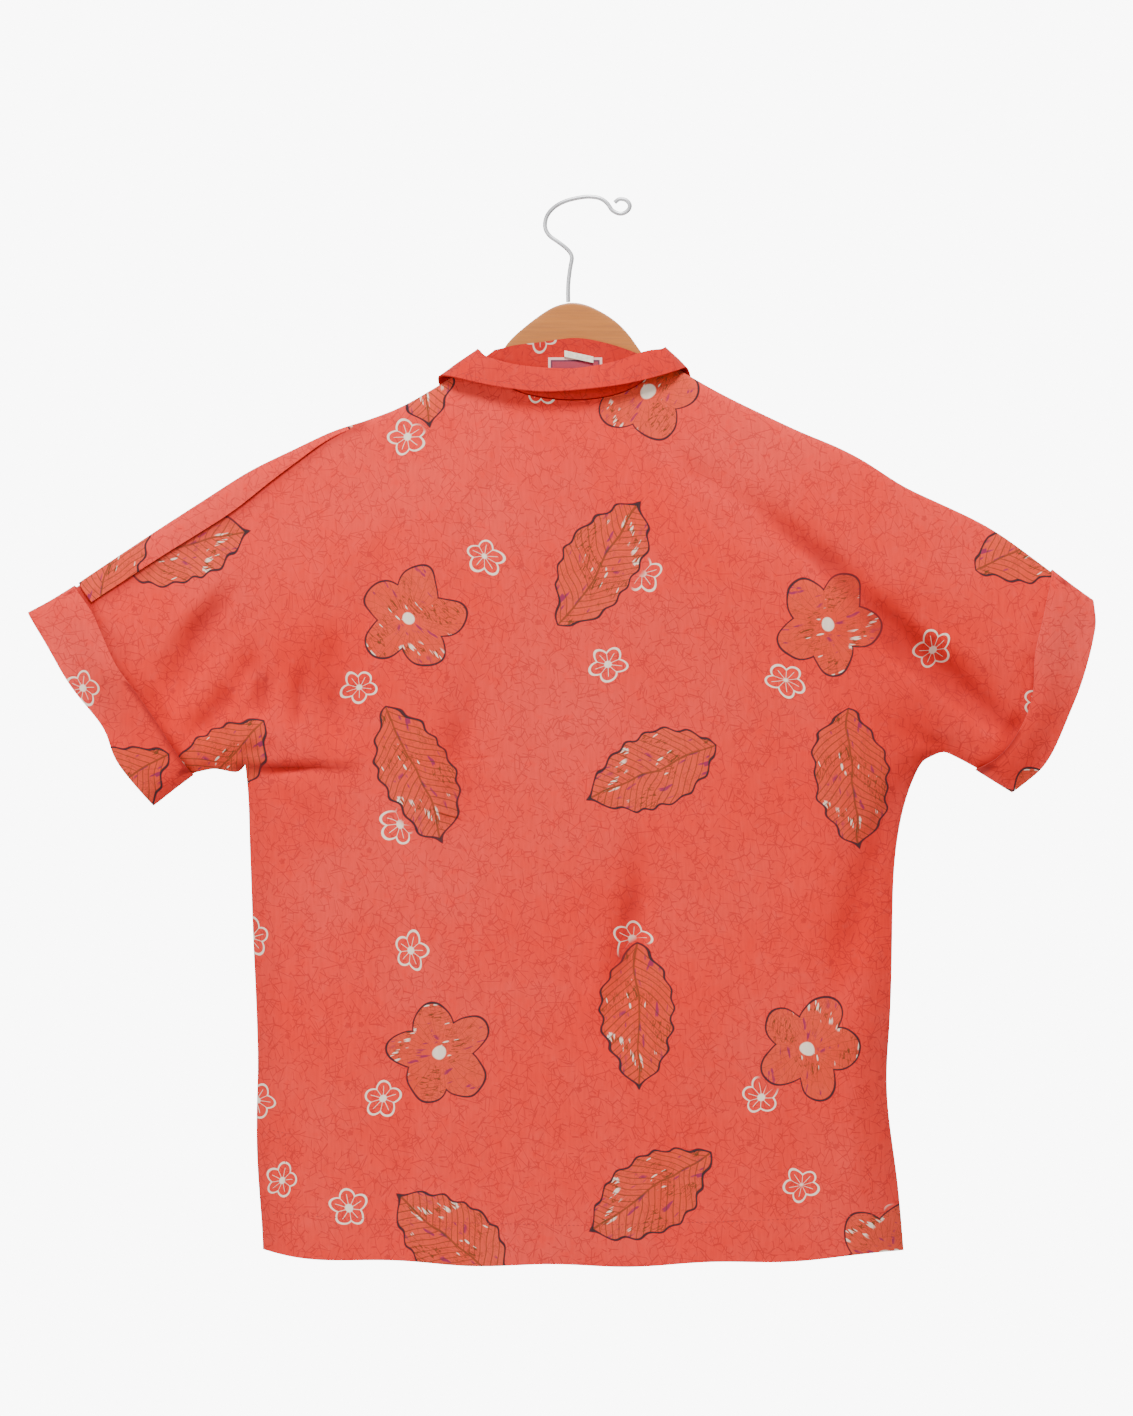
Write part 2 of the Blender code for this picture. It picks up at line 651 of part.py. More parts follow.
def hanger_hook():
    """Bent wire with a rolled eye, in the hanger's own plane."""
    points = spline_rows(HOOK, 3)
    curve = bpy.data.curves.new("hanger_hook", "CURVE")
    curve.dimensions = "3D"
    curve.bevel_depth = WIRE_RADIUS * MM
    curve.bevel_resolution = 2
    curve.use_fill_caps = True
    spline = curve.splines.new("POLY")
    spline.points.add(len(points) - 1)
    for point, (x, z) in zip(spline.points, points):
        point.co = (x * MM, 0, z * MM, 1)
    return bpy.data.objects.new("hanger_hook", curve)


def button(number, z):
    """Round button on the upper front."""
    face = hollow((CENTRE_X, z)) + LAP_LIFT + CLOTH * 1.02 + LAY_GAP
    mesh = bpy.data.meshes.new("button_%d" % number)
    bm = bmesh.new()
    bmesh.ops.create_cone(bm, cap_ends=True, segments=20, radius1=BUTTON_RADIUS * MM,
                          radius2=BUTTON_RADIUS * MM, depth=BUTTON_THICKNESS * MM)
    bm.to_mesh(mesh)
    bm.free()
    disc = bpy.data.objects.new(mesh.name, mesh)
    disc.rotation_euler = (math.radians(90), 0, 0)
    disc.location = (CENTRE_X * MM, (face + BUTTON_THICKNESS / 2 + BUTTON_SEAT) * MM, z * MM)
    edge = disc.modifiers.new("edge", "BEVEL")
    edge.width = BUTTON_EDGE * MM
    edge.segments = 1
    return disc


def material(name, colour, roughness, metallic=0.0):
    finish = bpy.data.materials.new(name)
    finish.use_nodes = True
    shader = finish.node_tree.nodes["Principled BSDF"]
    shader.inputs["Base Color"].default_value = (*colour, 1)
    shader.inputs["Roughness"].default_value = roughness
    shader.inputs["Metallic"].default_value = metallic
    return finish


def build():
    for thing in list(bpy.data.objects):
        bpy.data.objects.remove(thing, do_unlink=True)
    collection = bpy.data.collections.new("hawaiian_shirt_on_hanger")
    bpy.context.scene.collection.children.link(collection)
    cloth = material("coral_cloth", (.80, .12, .08), .85)
    label = material("label_cloth", (.16, .03, .10), .8)
    cream = material("cream_tape", (.82, .72, .58), .8)
    shell = material("shell_button", (.36, .16, .12), .35)
    wood = material("hanger_wood", (.60, .36, .18), .45)
    steel = material("hanger_steel", (.62, .62, .62), .25, 1.0)
    left, right, foot, top = LABEL
    panels = back_panel() + front_panel("left") + front_panel("right")
    pieces = [(wall, cloth) for wall in panels]
    pieces += [(cuff("left"), cloth),
              (cuff("right"), cloth), (overarm_roll(), cloth),
              (collar_fall(), cloth), (collar_stand(), cloth),
              (patch("neck_label", left, right, foot, top, LAY_GAP, 1.0), label),
              (patch("hanger_loop", LOOP[0], LOOP[1], LOOP[2] - LOOP_HALF_HEIGHT,
                     LOOP[2] + LOOP_HALF_HEIGHT, 2 * LAY_GAP + 1.0, 1.2,
                     LOOP[3] - LOOP[2]), cream),
              (hanger_wood(), wood), (hanger_hook(), steel)]
    for number, z in enumerate(BUTTON_Z, 1):
        pieces.append((button(number, z), shell))
    for piece, finish in pieces:
        collection.objects.link(piece)
        piece.data.materials.append(finish)


build()
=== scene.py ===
"""Looks of a short-sleeved printed shirt that hangs on a wooden hanger."""

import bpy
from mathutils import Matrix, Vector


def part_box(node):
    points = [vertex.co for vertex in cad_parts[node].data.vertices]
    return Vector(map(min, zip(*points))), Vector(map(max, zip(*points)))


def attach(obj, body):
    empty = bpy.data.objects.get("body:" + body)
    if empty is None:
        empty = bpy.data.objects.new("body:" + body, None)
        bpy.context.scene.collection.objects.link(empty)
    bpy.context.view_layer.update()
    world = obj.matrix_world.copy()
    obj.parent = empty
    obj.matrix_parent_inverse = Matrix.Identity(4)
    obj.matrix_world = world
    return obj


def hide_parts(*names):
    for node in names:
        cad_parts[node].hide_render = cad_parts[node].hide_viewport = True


bl_info = {
    "name": "Printed shirt on hanger",
    "version": (1, 0, 0),
    "blender": (4, 5, 0),
    "location": "3D View > Sidebar > Shirt",
    "description": "Dresses a hanging short-sleeved shirt: cloth, print, sewing and hanger",
    "category": "Object",
}

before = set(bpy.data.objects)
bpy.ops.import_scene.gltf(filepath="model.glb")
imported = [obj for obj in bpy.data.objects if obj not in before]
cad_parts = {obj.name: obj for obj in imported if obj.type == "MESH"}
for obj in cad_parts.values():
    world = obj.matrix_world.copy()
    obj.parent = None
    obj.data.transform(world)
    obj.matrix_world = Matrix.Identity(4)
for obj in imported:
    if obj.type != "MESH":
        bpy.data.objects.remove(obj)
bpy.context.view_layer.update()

import math

import bpy
from bpy.props import FloatProperty, FloatVectorProperty, IntProperty, PointerProperty
from mathutils import Vector, noise
from mathutils.bvhtree import BVHTree
from mathutils.kdtree import KDTree


# ---------------------------------------------------------------- sizes and places
# Tables of places are in millimetres, x to the right and z up as the camera sees the
# back, with 0, 0 where the hook hangs. Other sizes are in metres, unless they say mm.

MM = 0.001
BODY = "root"
RINGS = ("cuff_left", "cuff_right")
BUTTONS = [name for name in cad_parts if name.startswith("button_")]
PANEL_NODES = {
    "back": ["back", "back_sleeve_left", "back_sleeve_right"],
    "front_left": ["front_left", "front_sleeve_left"],
    "front_right": ["front_right", "front_sleeve_right"],
}

JOIN_GAP = 0.0005          # the walls of two nodes cut in one lie nearer than this
WELD = 0.00001             # points of one node nearer than this are one point
SEAM_CLOSE = 0.00025       # edges nearer the middle plane than this are sewn together
LEAST_DEPTH = .06          # share of its depth that the deepest crease leaves
SEAM_HOLD = .0030          # nearer the middle plane than this a seam holds the cloth
SEAM_EASE = .006           # and over this much more depth it becomes free
FINE = 2                   # times that a small piece is subdivided
PANEL_SHARP = 50           # degrees by which an edge turns to be kept sharp, on panels
SHARP = 60                 # and on the other pieces
SMOOTH_UNDER = 42          # degrees up to which faces are shaded as one

# creases pushed into the cloth, which are also painted darker and warmer as painted shade:
# from x, z to x, z, half width, depth, bow sideways; a negative depth is a ridge
CREASES = {
    "back": [
        (-282, -304, -346, -404, 10, 4.4, 4), (-268, -362, -324, -434, 9, 4.0, -3),
        (-227, -362, -235, -434, 7, 4.0, 3), (-206, -346, -203, -430, 7, 4.2, 2),
        (-266, -368, -262, -418, 6, 3.0, 0),
        (326, -448, 348, -402, 7, 1.6, 0), (349, -406, 350, -360, 6, 1.4, 0),
        (350, -364, 364, -310, 5, .9, 0), (-336, -424, -364, -382, 6, 1.2, 0),
        (-362, -386, -394, -328, 6, 1.0, 0), (190, -290, 346, -434, 12, 5.4, 4),
        (214, -318, 334, -428, 24, 1.6, 3),
        (126, -246, 212, -314, 11, 3.0, -4),
        (52, -196, 128, -248, 10, 2.0, 4), (-90, -366, -124, -545, 13, 2.6, 6),
        (36, -516, 6, -676, 13, 3.0, -5), (232, -506, 194, -646, 12, 3.2, 5),
        (-270, -330, -340, -412, 6, 1.6, 5), (-236, -352, -306, -440, 7, 1.8, -6),
        (-292, -300, -352, -372, 5, -1.2, 4), (-248, -438, -300, -450, 5, 1.4, 3),
        (-272, -456, -214, -450, 4, 2.2, 2), (-262, -470, -222, -500, 6, 1.2, -4),
        (-216, -286, -224, -420, 8, -1.5, 6), (-190, -300, -196, -440, 9, 1.4, -8),
        (-150, -250, -176, -350, 10, 1.1, 8), (-96, -196, -112, -300, 8, -.9, 4),
        (-70, -192, -88, -276, 6, 1.3, 3), (-30, -180, -34, -250, 8, .8, 2),
        (20, -182, 60, -262, 7, 1.0, -5), (56, -204, 132, -258, 6, -1.4, 6),
        (120, -240, 206, -322, 6, 1.8, -7), (196, -312, 300, -398, 7, 2.0, 8),
        (210, -296, 322, -376, 6, -1.3, 6), (240, -420, 300, -440, 6, 1.5, 4),
        (246, -462, 206, -520, 7, 1.6, -6), (236, -500, 204, -600, 8, 1.2, 7),
        (226, -520, 198, -640, 6, -1.2, 5), (70, -330, 44, -480, 12, 1.0, 10),
        (36, -500, 14, -640, 8, 1.6, -6), (24, -540, 0, -690, 7, -1.1, 6),
        (-90, -460, -104, -600, 12, .9, -9), (-220, -540, -232, -690, 9, 1.1, 8),
        (-140, -700, -150, -830, 10, 1.2, 5), (-60, -730, -52, -846, 9, -1.0, -4),
        (60, -740, 66, -842, 10, 1.2, 5), (150, -720, 160, -838, 9, 1.1, -5),
        (206, -700, 214, -826, 8, -1.0, 4), (-236, -700, -240, -826, 8, 1.0, 4),
        (-20, -300, -12, -430, 14, .8, 8), (140, -420, 150, -560, 13, .9, -8)],
    "front": [
        (-268, -330, -336, -410, 6, 1.6, -5), (-240, -360, -310, -446, 7, 1.7, 6),
        (-270, -458, -210, -456, 4, 1.8, -2), (-206, -300, -196, -420, 9, 1.4, 7),
        (-140, -240, -120, -360, 10, 1.1, -8), (-70, -250, -60, -370, 9, .9, 5),
        (30, -250, 24, -360, 9, .9, -5), (96, -220, 130, -330, 9, 1.2, 6),
        (180, -290, 290, -396, 7, 1.9, -7), (212, -296, 318, -372, 6, -1.2, 6),
        (244, -462, 204, -524, 7, 1.6, 6), (224, -520, 196, -650, 8, 1.2, -7),
        (90, -480, 76, -620, 11, 1.1, 8), (-110, -500, -98, -650, 11, 1.1, -8),
        (-214, -540, -226, -690, 9, 1.1, 8), (-130, -700, -140, -830, 10, 1.2, 5),
        (-60, -720, -54, -844, 9, 1.0, -4), (40, -730, 46, -842, 9, 1.0, 4),
        (140, -720, 148, -836, 9, 1.1, -5), (-40, -420, -36, -520, 10, .8, 5)],
}
RUN_LENGTH = 1.3           # length that a crease or ledge takes, with its faded ends
# creases of the cuffs: x, z at the middle, angle of the run, length, half width, depth
CUFF_DENTS = [(-400, -352, -60, 60, 7, 1.6), (-384, -410, -40, 44, 6, 1.8),
              (-352, -452, -52, 50, 6, -1.5), (-430, -330, 40, 34, 6, 1.0),
              (376, -330, 70, 60, 7, 1.6), (362, -404, 62, 46, 6, 1.8),
              (338, -452, 50, 44, 6, -1.5), (392, -322, 40, 34, 6, 1.0)]
# where each cuff stands off its sleeve: x, z along its inner edge and how far off
CUFF_FLARES = {
    "cloth_cuff_left": [(-324, -456, 1.5), (-347, -424, 2.6), (-369, -393, 4.5),
                        (-382, -377, 6.5), (-393, -354, 4.0), (-402, -334, 3.0),
                        (-416, -318, 1.0)],
    "cloth_cuff_right": [(312, -456, 4.0), (330, -445, 7.0), (346, -422, 8.5),
                         (355, -402, 8.0), (356, -388, 7.0), (356, -368, 5.5),
                         (363, -346, 4.0), (374, -308, 2.0)]}
FLARE_WIDTH = 19.0         # mm from its inner edge at which a cuff is back on the sleeve

# ledges, where the cloth above a line hangs over the cloth below: x, z to x, z,
# how far it stands out and how far up the rise fades
LEDGES = {"back": [(-284, -453, -196, -449, 4.2, 34)],
          "front": [(-284, -456, -214, -452, 3.0, 30)]}
LEDGE_UNDER = 2.0          # mm below a ledge over which its rise fades

ROLL_FADE = (-0.215, -0.172)   # x where the roll's neck end begins and ends to sink
ROLL_SINK = (.22, .0030)       # share of its depth, and height, that it sinks
BAND_TOP = -0.118          # height of the inner band's left end
BAND_END = -0.060          # x from which that end slants outwards
BAND_SLANT = 0.012         # how far it slants
BAND_EASE = 0.014          # and over what length the slant sets in

# the label, all in mm: x and z of its middle, its half size, the width of its pale
# border, the radius of its corners and the pitch of its ribs
LABEL_CENTRE = (-13.5, -138.75)
LABEL_HALF = (21.5, 11.25)
LABEL_BORDER = 1.8
LABEL_ROUND = 2.5
LABEL_RIB = .5

# a button: depth of the dish in its face, width of its rim, rounding of its edges,
# radius of its holes and how far they lie from its middle in x and in z
BUTTON_DISH = .0006
BUTTON_RIM = .0010
BUTTON_ROUND = .00035
HOLE_RADIUS = .0008
HOLE_OFFSET = .0012

THREAD_HALF = .0004        # half the width of a stitch
STITCH_STEP = .002         # no stitch spans a larger step in the cloth than this
# rows of stitches: panel, facing, then x, z points along the row
SEAMS = [
    ("cloth_back", -1, [(-262, -808), (-130, -814), (-16, -817), (110, -814), (246, -808)]),
    ("cloth_front_left", 1, [(-262, -808), (-130, -814), (-6, -817)]),
    ("cloth_front_right", 1, [(6, -817), (110, -814), (246, -808)]),
    ("cloth_front_left", 1, [(-4, -204), (-4, -420), (-4, -640), (-4, -836)]),
    ("cloth_front_left", 1, [(-27, -204), (-27, -420), (-27, -640), (-27, -836)]),
    ("cloth_back", -1, [(-244, -745), (-244, -806)]),
    ("cloth_back", -1, [(218, -765), (224, -806)]),
    ("cloth_back", -1, [(-262, -742), (-244, -745)]),
    ("cloth_collar_fall", -1, [(-104, -140.5), (-82, -146.5), (-60, -150), (-30, -151.5),
                               (0, -148.5), (31, -144.5), (54, -139), (66, -134)]),
]


# ---------------------------------------------------------------- colours and shades

# painted shade: where the cloth shows the warmer, deeper red of shade, at the underarms, cuffs,
# neck and hollows of the body: x, z, radius
WARM_SHADE_SPOTS = [(330, -425, 34), (348, -385, 26), (-352, -402, 26), (-262, -430, 95),
              (-330, -410, 60), (232, -470, 85), (290, -380, 60), (60, -250, 60),
              (-40, -140, 70), (-210, -360, 70), (10, -620, 70), (200, -600, 60),
              (-230, -620, 60), (196, -330, 44), (232, -362, 50), (262, -412, 56),
              (214, -424, 60), (318, -430, 50)]
# where a broad hollow is a little darker too: x, z, radius, and then how much darker
SHADE_SPOTS = [(225, -345, 45), (255, -400, 55), (305, -405, 40), (225, -470, 45),
               (-230, -480, 36), (-215, -385, 34)]
SPOT_SHADE = .33
# painted highlight: soft pink bloom on the lit tops of the shoulders and sleeves, and paler spots
# on the cuffs, the body and the hem: x, z, radius
HIGHLIGHT_AND_PALE_SPOTS = [(-100, -190, 90), (110, -190, 70), (-420, -360, 60), (392, -350, 50),
               (-300, -260, 70), (0, -400, 90), (-160, -560, 90),
               (-70, -834, 24), (-20, -836, 24), (30, -834, 24)]
# the warm colour of a crease is painted shade, full at the depth below
CREASE_SHADE_DEPTH = 0.0028       # depth of a crease, in metres, that shows the full warm colour
CREASE_SHADE = .60         # share of the shade colour that such a crease shows

COTTON_SHEEN = {"Sheen Weight": .12, "Sheen Roughness": .45,
                "Sheen Tint": (1.0, .62, .56, 1), "Specular IOR Level": .28}
# painted shade: share of the shade colour where the cloth is most shaded, in creases and hollows,
# under the ledges, at a cuff's cut edge and beside the cuffs, the lap and the roll, and that
# colour
PAINTED_SHADE_SHARE = .72
PAINTED_SHADE_COLOUR = (.26, .006, .008)

# shadow line under each side's ledge: x, z and strength
SHADOWS = {"back": [(-282, -455, 4.5), (-240, -453.5, 6.0), (-192, -453, 1.0)],
           "front": [(-282, -458, 4.0), (-210, -454, 1.0)]}
# edge of the upper front, whose shadow falls on the lower one: x, z and strength
LAP_EDGE = [(-1, -196, 5.0), (-1, -838, 5.0)]
# widths in mm of the shade beside a cuff, under a ledge and beside the lap, and how deep
# the shade reaches into the cut edge of a cuff
CUFF_SHADE, LEDGE_SHADE, LAP_SHADE, CUFF_WALL = 5.5, 3.0, 2.4, 4.5
SHADE_LEAST, SHADE_GAIN = .45, .09     # strength of a shade, and its gain for each mm off
WALL_TURN = .86            # a cuff's cut edge has normals that face Y less than this
ROLL_SHADOW = (6.0, .75)       # width in mm and strength of the shade beside the roll

# direction in radians, spacing in metres and share left out of each set of fine lines
HATCHES = [(.30, .0062, .46), (1.35, .0080, .49), (2.40, .0054, .50), (.95, .0130, .50)]
# layers of soft clouds in the ground: scale, detail and roughness, then which colour
# each end of the clouds takes on, between what heights, and how much at both
CLOUDS = [(13.0, 4, .60, ("faded", .45, .70, 0, .40), ("deep", .32, .52, .35, 0)),
          (85.0, 3, .65, ("deep", .52, .70, 0, .38), ("faded", .30, .46, .30, 0))]
STAR_SPACING = .046        # metres between the ground's small stars, and their radius
STAR_RADIUS = .0021
LINE_STRENGTH = .50        # how far the fine lines cover the ground

MOTIF_SPACING = .172       # metres between the large motifs
LEAF_HALF = (.056, .029)   # half length and half width of a leaf
BLOSSOM_RADIUS = .042
BLOSSOM_SHARE = .42        # share of the large motifs that are blossoms, not leaves
VEIN_PITCH = .0062         # distance between a leaf's side veins
OUTLINE_HALF = .00065      # half the width of a large motif's outline
BUD_SPACING = .105         # metres between the small cream blossoms, and their radius
BUD_RADIUS = .0145

# turn in radians and shift in metres with which each piece is cut from the print
PANEL_PRINT = {"back": (0, (0, 0, 0)), "front_left": (.08, (.63, 0, .21)),
               "front_right": (-.05, (-.37, 0, .43))}
CUFF_PRINT = {"cuff_left": (.98, (.15, 0, .33)), "cuff_right": (-1.05, (-.22, 0, .12))}
ROLL_PRINT = (.6, (.31, 0, .77))
COLLAR_SHIFT = (.27, 0, .58)       # where the collar lies on the print
# piece, turn of its print, warmth and lightness of its colour; the warmer, darker colour is
# painted shade, as both pieces lie in shade
COLLAR_LOOKS = [("collar_fall", .5, .80, .76), ("collar_stand", 1.2, 1.0, .64)]

# the label's field between its ribs and on them, its inner line and its border
WINE, WINE_LIGHT = (.33, .004, .030), (.50, .022, .070)
LABEL_DARK, LABEL_PALE = (.035, .006, .035), (.86, .50, .44)
# fineness of the wood's long and fine grain along and across the board, detail, roughness
GRAINS = [(9.0, 190.0, 4, .62), (40.0, 900.0, 2, .5)]
BOARD_EDGE = (.0030, .0056)     # depths between which the edge's darker wood fades


# ---------------------------------------------------------------- stage

# name, place in metres, size in metres and power in watts of each soft light
LIGHTS = [("key", (.2, -1.6, 2.15), .8, 134), ("fill", (-1.5, -1.7, -.2), 1.4, 25),
          ("rear", (.4, 2.6, 1.4), 2.2, 80)]
SKY_LIGHT = .36            # strength of the white sky as a light, and as it is seen
SKY_SEEN = 9.0
# the floor under the shirt: radius, x of its middle and colour
FLOOR_RADIUS, FLOOR_X = 1.5, -.02
FLOOR_COLOUR = (.86, .86, .86, 1)
SENSOR = 36                # millimetres that the framed height fills
CLIP_END = 50


# ---------------------------------------------------------------- settings

def colour_property(name, description, default):
    return FloatVectorProperty(name=name, description=description, default=default,
                               size=3, subtype="COLOR")


def length_property(name, description, default):
    return FloatProperty(name=name, description=description, default=default,
                         unit="LENGTH")


class ShirtCloth(bpy.types.PropertyGroup):
    crease_depth: FloatProperty(
        name="Crease depth", description="Strength of the pressed-in creases",
        default=2.0, min=0.0, max=3.0)
    rumple: length_property("Rumple", "Height of the fine unevenness of the cloth", 0.0006)
    refinement: IntProperty(
        name="Refinement", description="Times that each panel is subdivided",
        default=2, min=1, max=3)
    stitch_length: length_property("Stitch length", "Length of one stitch", 0.0024)
    stitch_gap: length_property("Stitch gap", "Space between two stitches", 0.0011)


class ShirtColours(bpy.types.PropertyGroup):
    ground: colour_property("Ground", "Coral ground of the print", (.86, .034, .021))
    # this deeper red serves the print's dark clouds, and as painted shade the red of creases,
    # hollows, underarms, cuffs and the collar
    deep: colour_property("Deep", "Warmer ground where the cloth is shaded or doubled",
                          (.88, .014, .006))
    # this pinker colour serves the print's pale clouds, and the painted highlight on the lit tops
    # of the shoulders and sleeves; it also pales spots on the cuffs, the body and the hem
    faded: colour_property("Faded", "Pinker ground where the cloth is worn", (.86, .058, .044))
    line: colour_property("Fine lines", "Scribbled lines all over the ground", (.36, .008, .012))
    outline: colour_property("Outline", "Dark outline of the large motifs", (.010, .013, .018))
    leaf: colour_property("Motif fill", "Tan fill of the large motifs", (.58, .095, .030))
    olive: colour_property("Olive", "Olive brown strokes in the large motifs", (.085, .045, .010))
    plum: colour_property("Plum", "Purple strokes in the large motifs", (.20, .010, .085))
    cream: colour_property("Cream", "Small blossoms, tape and highlights", (1.0, .88, .70))
    thread: colour_property("Thread", "Sewing thread", (.46, .022, .018))


class HangerLooks(bpy.types.PropertyGroup):
    wood: colour_property("Wood", "Light varnished wood", (.56, .185, .030))
    wood_dark: colour_property("Wood grain", "Darker grain of the wood", (.36, .115, .028))
    steel: colour_property("Steel", "Bright steel wire", (.82, .82, .84))
    button: colour_property("Button", "Brown button", (.30, .10, .055))


class StageLooks(bpy.types.PropertyGroup):
    distance: length_property("Camera distance", "From the camera to the shirt", 3.0)
    frame_height: length_property("Framed height",
                                  "Height that the camera frames at the shirt", 1.1328)
    centre: FloatVectorProperty(
        name="Framed centre", description="Point at the middle of the camera's view",
        default=(-.0204, 0, -.4068), size=3, subtype="XYZ", unit="LENGTH")
    floor_height: length_property("Floor height", "Height of the pale floor", -1.55)


# ---------------------------------------------------------------- shaders

class Graph:
    """Adds nodes to a node tree and links them as they are called."""

    def __init__(self, tree):
        self.tree = tree

    def add(self, kind, **settings):
        node = self.tree.nodes.new(kind)
        for key, value in settings.items():
            setattr(node, key, value)
        return node

    def link(self, value, socket):
        if isinstance(value, bpy.types.NodeSocket):
            self.tree.links.new(value, socket)
        elif value is not None:
            socket.default_value = value

    def math(self, operation, a, b=None, c=None, clamp=False):
        node = self.add("ShaderNodeMath", operation=operation, use_clamp=clamp)
        for value, socket in zip((a, b, c), node.inputs):
            self.link(value, socket)
        return node.outputs[0]

    def plus(self, a, b):
        return self.math("ADD", a, b)

    def minus(self, a, b):
        return self.math("SUBTRACT", a, b)

    def times(self, a, b):
        return self.math("MULTIPLY", a, b)

    def most(self, a, b):
        return self.math("MAXIMUM", a, b)

    def size(self, a):
        return self.math("ABSOLUTE", a)

    def vector(self, operation, a, b=None, scale=None):
        node = self.add("ShaderNodeVectorMath", operation=operation)
        self.link(a, node.inputs[0])
        self.link(b, node.inputs[1])
        if scale is not None:
            self.link(scale, node.inputs["Scale"])
        return node.outputs["Value" if operation == "LENGTH" else "Vector"]

    def split(self, vector):
        node = self.add("ShaderNodeSeparateXYZ")
        self.link(vector, node.inputs[0])
        return node.outputs

    def join(self, x, y, z=0.0):
        node = self.add("ShaderNodeCombineXYZ")
        for value, socket in zip((x, y, z), node.inputs):
            self.link(value, socket)
        return node.outputs[0]

    def ramp(self, value, low, high, out_low=0.0, out_high=1.0):
        """Smooth step of the value between two marks."""
        node = self.add("ShaderNodeMapRange", interpolation_type="SMOOTHSTEP")
        for number, socket in zip((value, low, high, out_low, out_high), node.inputs):
            self.link(number, socket)
        return node.outputs[0]

    def mix(self, factor, a, b, blend="MIX"):
        node = self.add("ShaderNodeMix", data_type="RGBA", blend_type=blend)
        self.link(factor, node.inputs["Factor"])
        for value, socket in ((a, node.inputs[6]), (b, node.inputs[7])):
            if isinstance(value, (tuple, list)):
                value = (*value[:3], 1)
            self.link(value, socket)
        return node.outputs[2]

    def noise(self, vector, scale, detail=2.0, rough=.5, out="Fac"):
        node = self.add("ShaderNodeTexNoise")
        self.link(vector, node.inputs["Vector"])
        self.link(scale, node.inputs["Scale"])
        self.link(detail, node.inputs["Detail"])
        self.link(rough, node.inputs["Roughness"])
        return node.outputs[out]

    def voronoi(self, vector, scale, randomness=1.0, feature="F1"):
        node = self.add("ShaderNodeTexVoronoi", voronoi_dimensions="2D", feature=feature)
        self.link(vector, node.inputs["Vector"])
        self.link(scale, node.inputs["Scale"])
        self.link(randomness, node.inputs["Randomness"])
        return node.outputs

    def band(self, distance, half_width, soft):
        """1 where the distance from 0 is under half the width."""
        return self.ramp(self.size(distance), half_width, half_width + soft, 1.0, 0.0)


def new_group(name, inputs, outputs):
    """Empty shader group with named sockets."""
    tree = bpy.data.node_groups.new(name, "ShaderNodeTree")
    for label, kind, default in inputs:
        socket = tree.interface.new_socket(label, in_out="INPUT", socket_type=kind)
        if default is not None:
            socket.default_value = default
    for label, kind in outputs:
        tree.interface.new_socket(label, in_out="OUTPUT", socket_type=kind)
    graph = Graph(tree)
    return tree, graph, graph.add("NodeGroupInput").outputs, graph.add("NodeGroupOutput").inputs


def cells(g, plane, size, randomness):
    """Local coordinates turned at random in each cell, and the cell's random colour."""
    out = g.voronoi(plane, 1 / size, randomness)
    local = g.vector("SUBTRACT", plane, out["Position"])
    random = g.add("ShaderNodeSeparateColor")
    g.link(out["Color"], random.inputs[0])
    turn = g.add("ShaderNodeVectorRotate", rotation_type="Z_AXIS")
    g.link(local, turn.inputs["Vector"])
    g.link(g.times(random.outputs[0], math.tau), turn.inputs["Angle"])
    return turn.outputs[0], random.outputs


def leaf_field(g, local, half_length, half_width):
    """Signed distance of a pointed leaf that lies along the local Y."""
    radius = (half_length ** 2 + half_width ** 2) / (2 * half_width)
    x, y, _ = g.split(local)
    side = g.plus(g.size(x), radius - half_width)
    far = g.math("SQRT", g.plus(g.times(side, side),
                                g.times(y, y)))
    teeth = g.math("SINE", g.times(y, math.tau / (half_length / 3.5)))
    return g.plus(g.minus(far, radius),
                  g.times(teeth, half_width * .045)), x, y


def blossom_field(g, local, radius):
    """Signed distance of a five-petalled blossom, its radius and angle."""
    x, y, _ = g.split(local)
    far = g.vector("LENGTH", local)
    angle = g.math("ARCTAN2", y, x)
    petal = g.size(g.math("COSINE", g.times(angle, 2.5)))
    reach = g.math("MULTIPLY_ADD", petal, radius * .34, radius * .66)
    return g.minus(far, reach), far, angle


def hatch(g, plane, turn, size, keep):
    """Short nearly straight scribbled lines that run mostly one way."""
    place = g.add("ShaderNodeMapping", vector_type="TEXTURE")
    place.inputs["Location"].default_value = (turn * 3, turn, 0)
    place.inputs["Rotation"].default_value = (0, 0, turn)
    place.inputs["Scale"].default_value = (1, 2.3, 1)
    g.link(plane, place.inputs["Vector"])
    edge = g.voronoi(place.outputs[0], 1 / size, 1.0, "DISTANCE_TO_EDGE")["Distance"]
    stroke = g.band(g.times(edge, size), .00007, .00032)
    broken = g.ramp(g.noise(place.outputs[0], 130.0, 1, .5), keep, keep + .07)
    return g.times(stroke, broken)


def scribbled_ground(g, plane, warm, faded):
    """Clouded coral ground under fine lines and small stars, and the lines' mask."""
    colour = bpy.context.scene.shirt_colours
    # these two mixes add the painted shade and painted highlight stored on the cloth
    ground = g.mix(warm, tuple(colour.ground), tuple(colour.deep))
    ground = g.mix(faded, ground, tuple(colour.faded))
    for scale, detail, rough, *ends in CLOUDS:
        cloud = g.noise(plane, scale, detail, rough)
        for name, low, high, at_low, at_high in ends:
            share = g.ramp(cloud, low, high, at_low, at_high)
            ground = g.mix(share, ground, tuple(getattr(colour, name)))
    lines = None
    for turn, size, keep in HATCHES:
        stroke = hatch(g, plane, turn, size, keep)
        lines = stroke if lines is None else g.most(lines, stroke)
    local, random = cells(g, plane, STAR_SPACING, .9)
    star, _, _ = blossom_field(g, local, STAR_RADIUS)
    stars = g.times(g.ramp(star, 0, .0007, .8, 0), g.ramp(random[1], .45, .5))
    lines = g.most(lines, stars)
    return g.mix(g.times(lines, LINE_STRENGTH), ground, tuple(colour.line)), lines


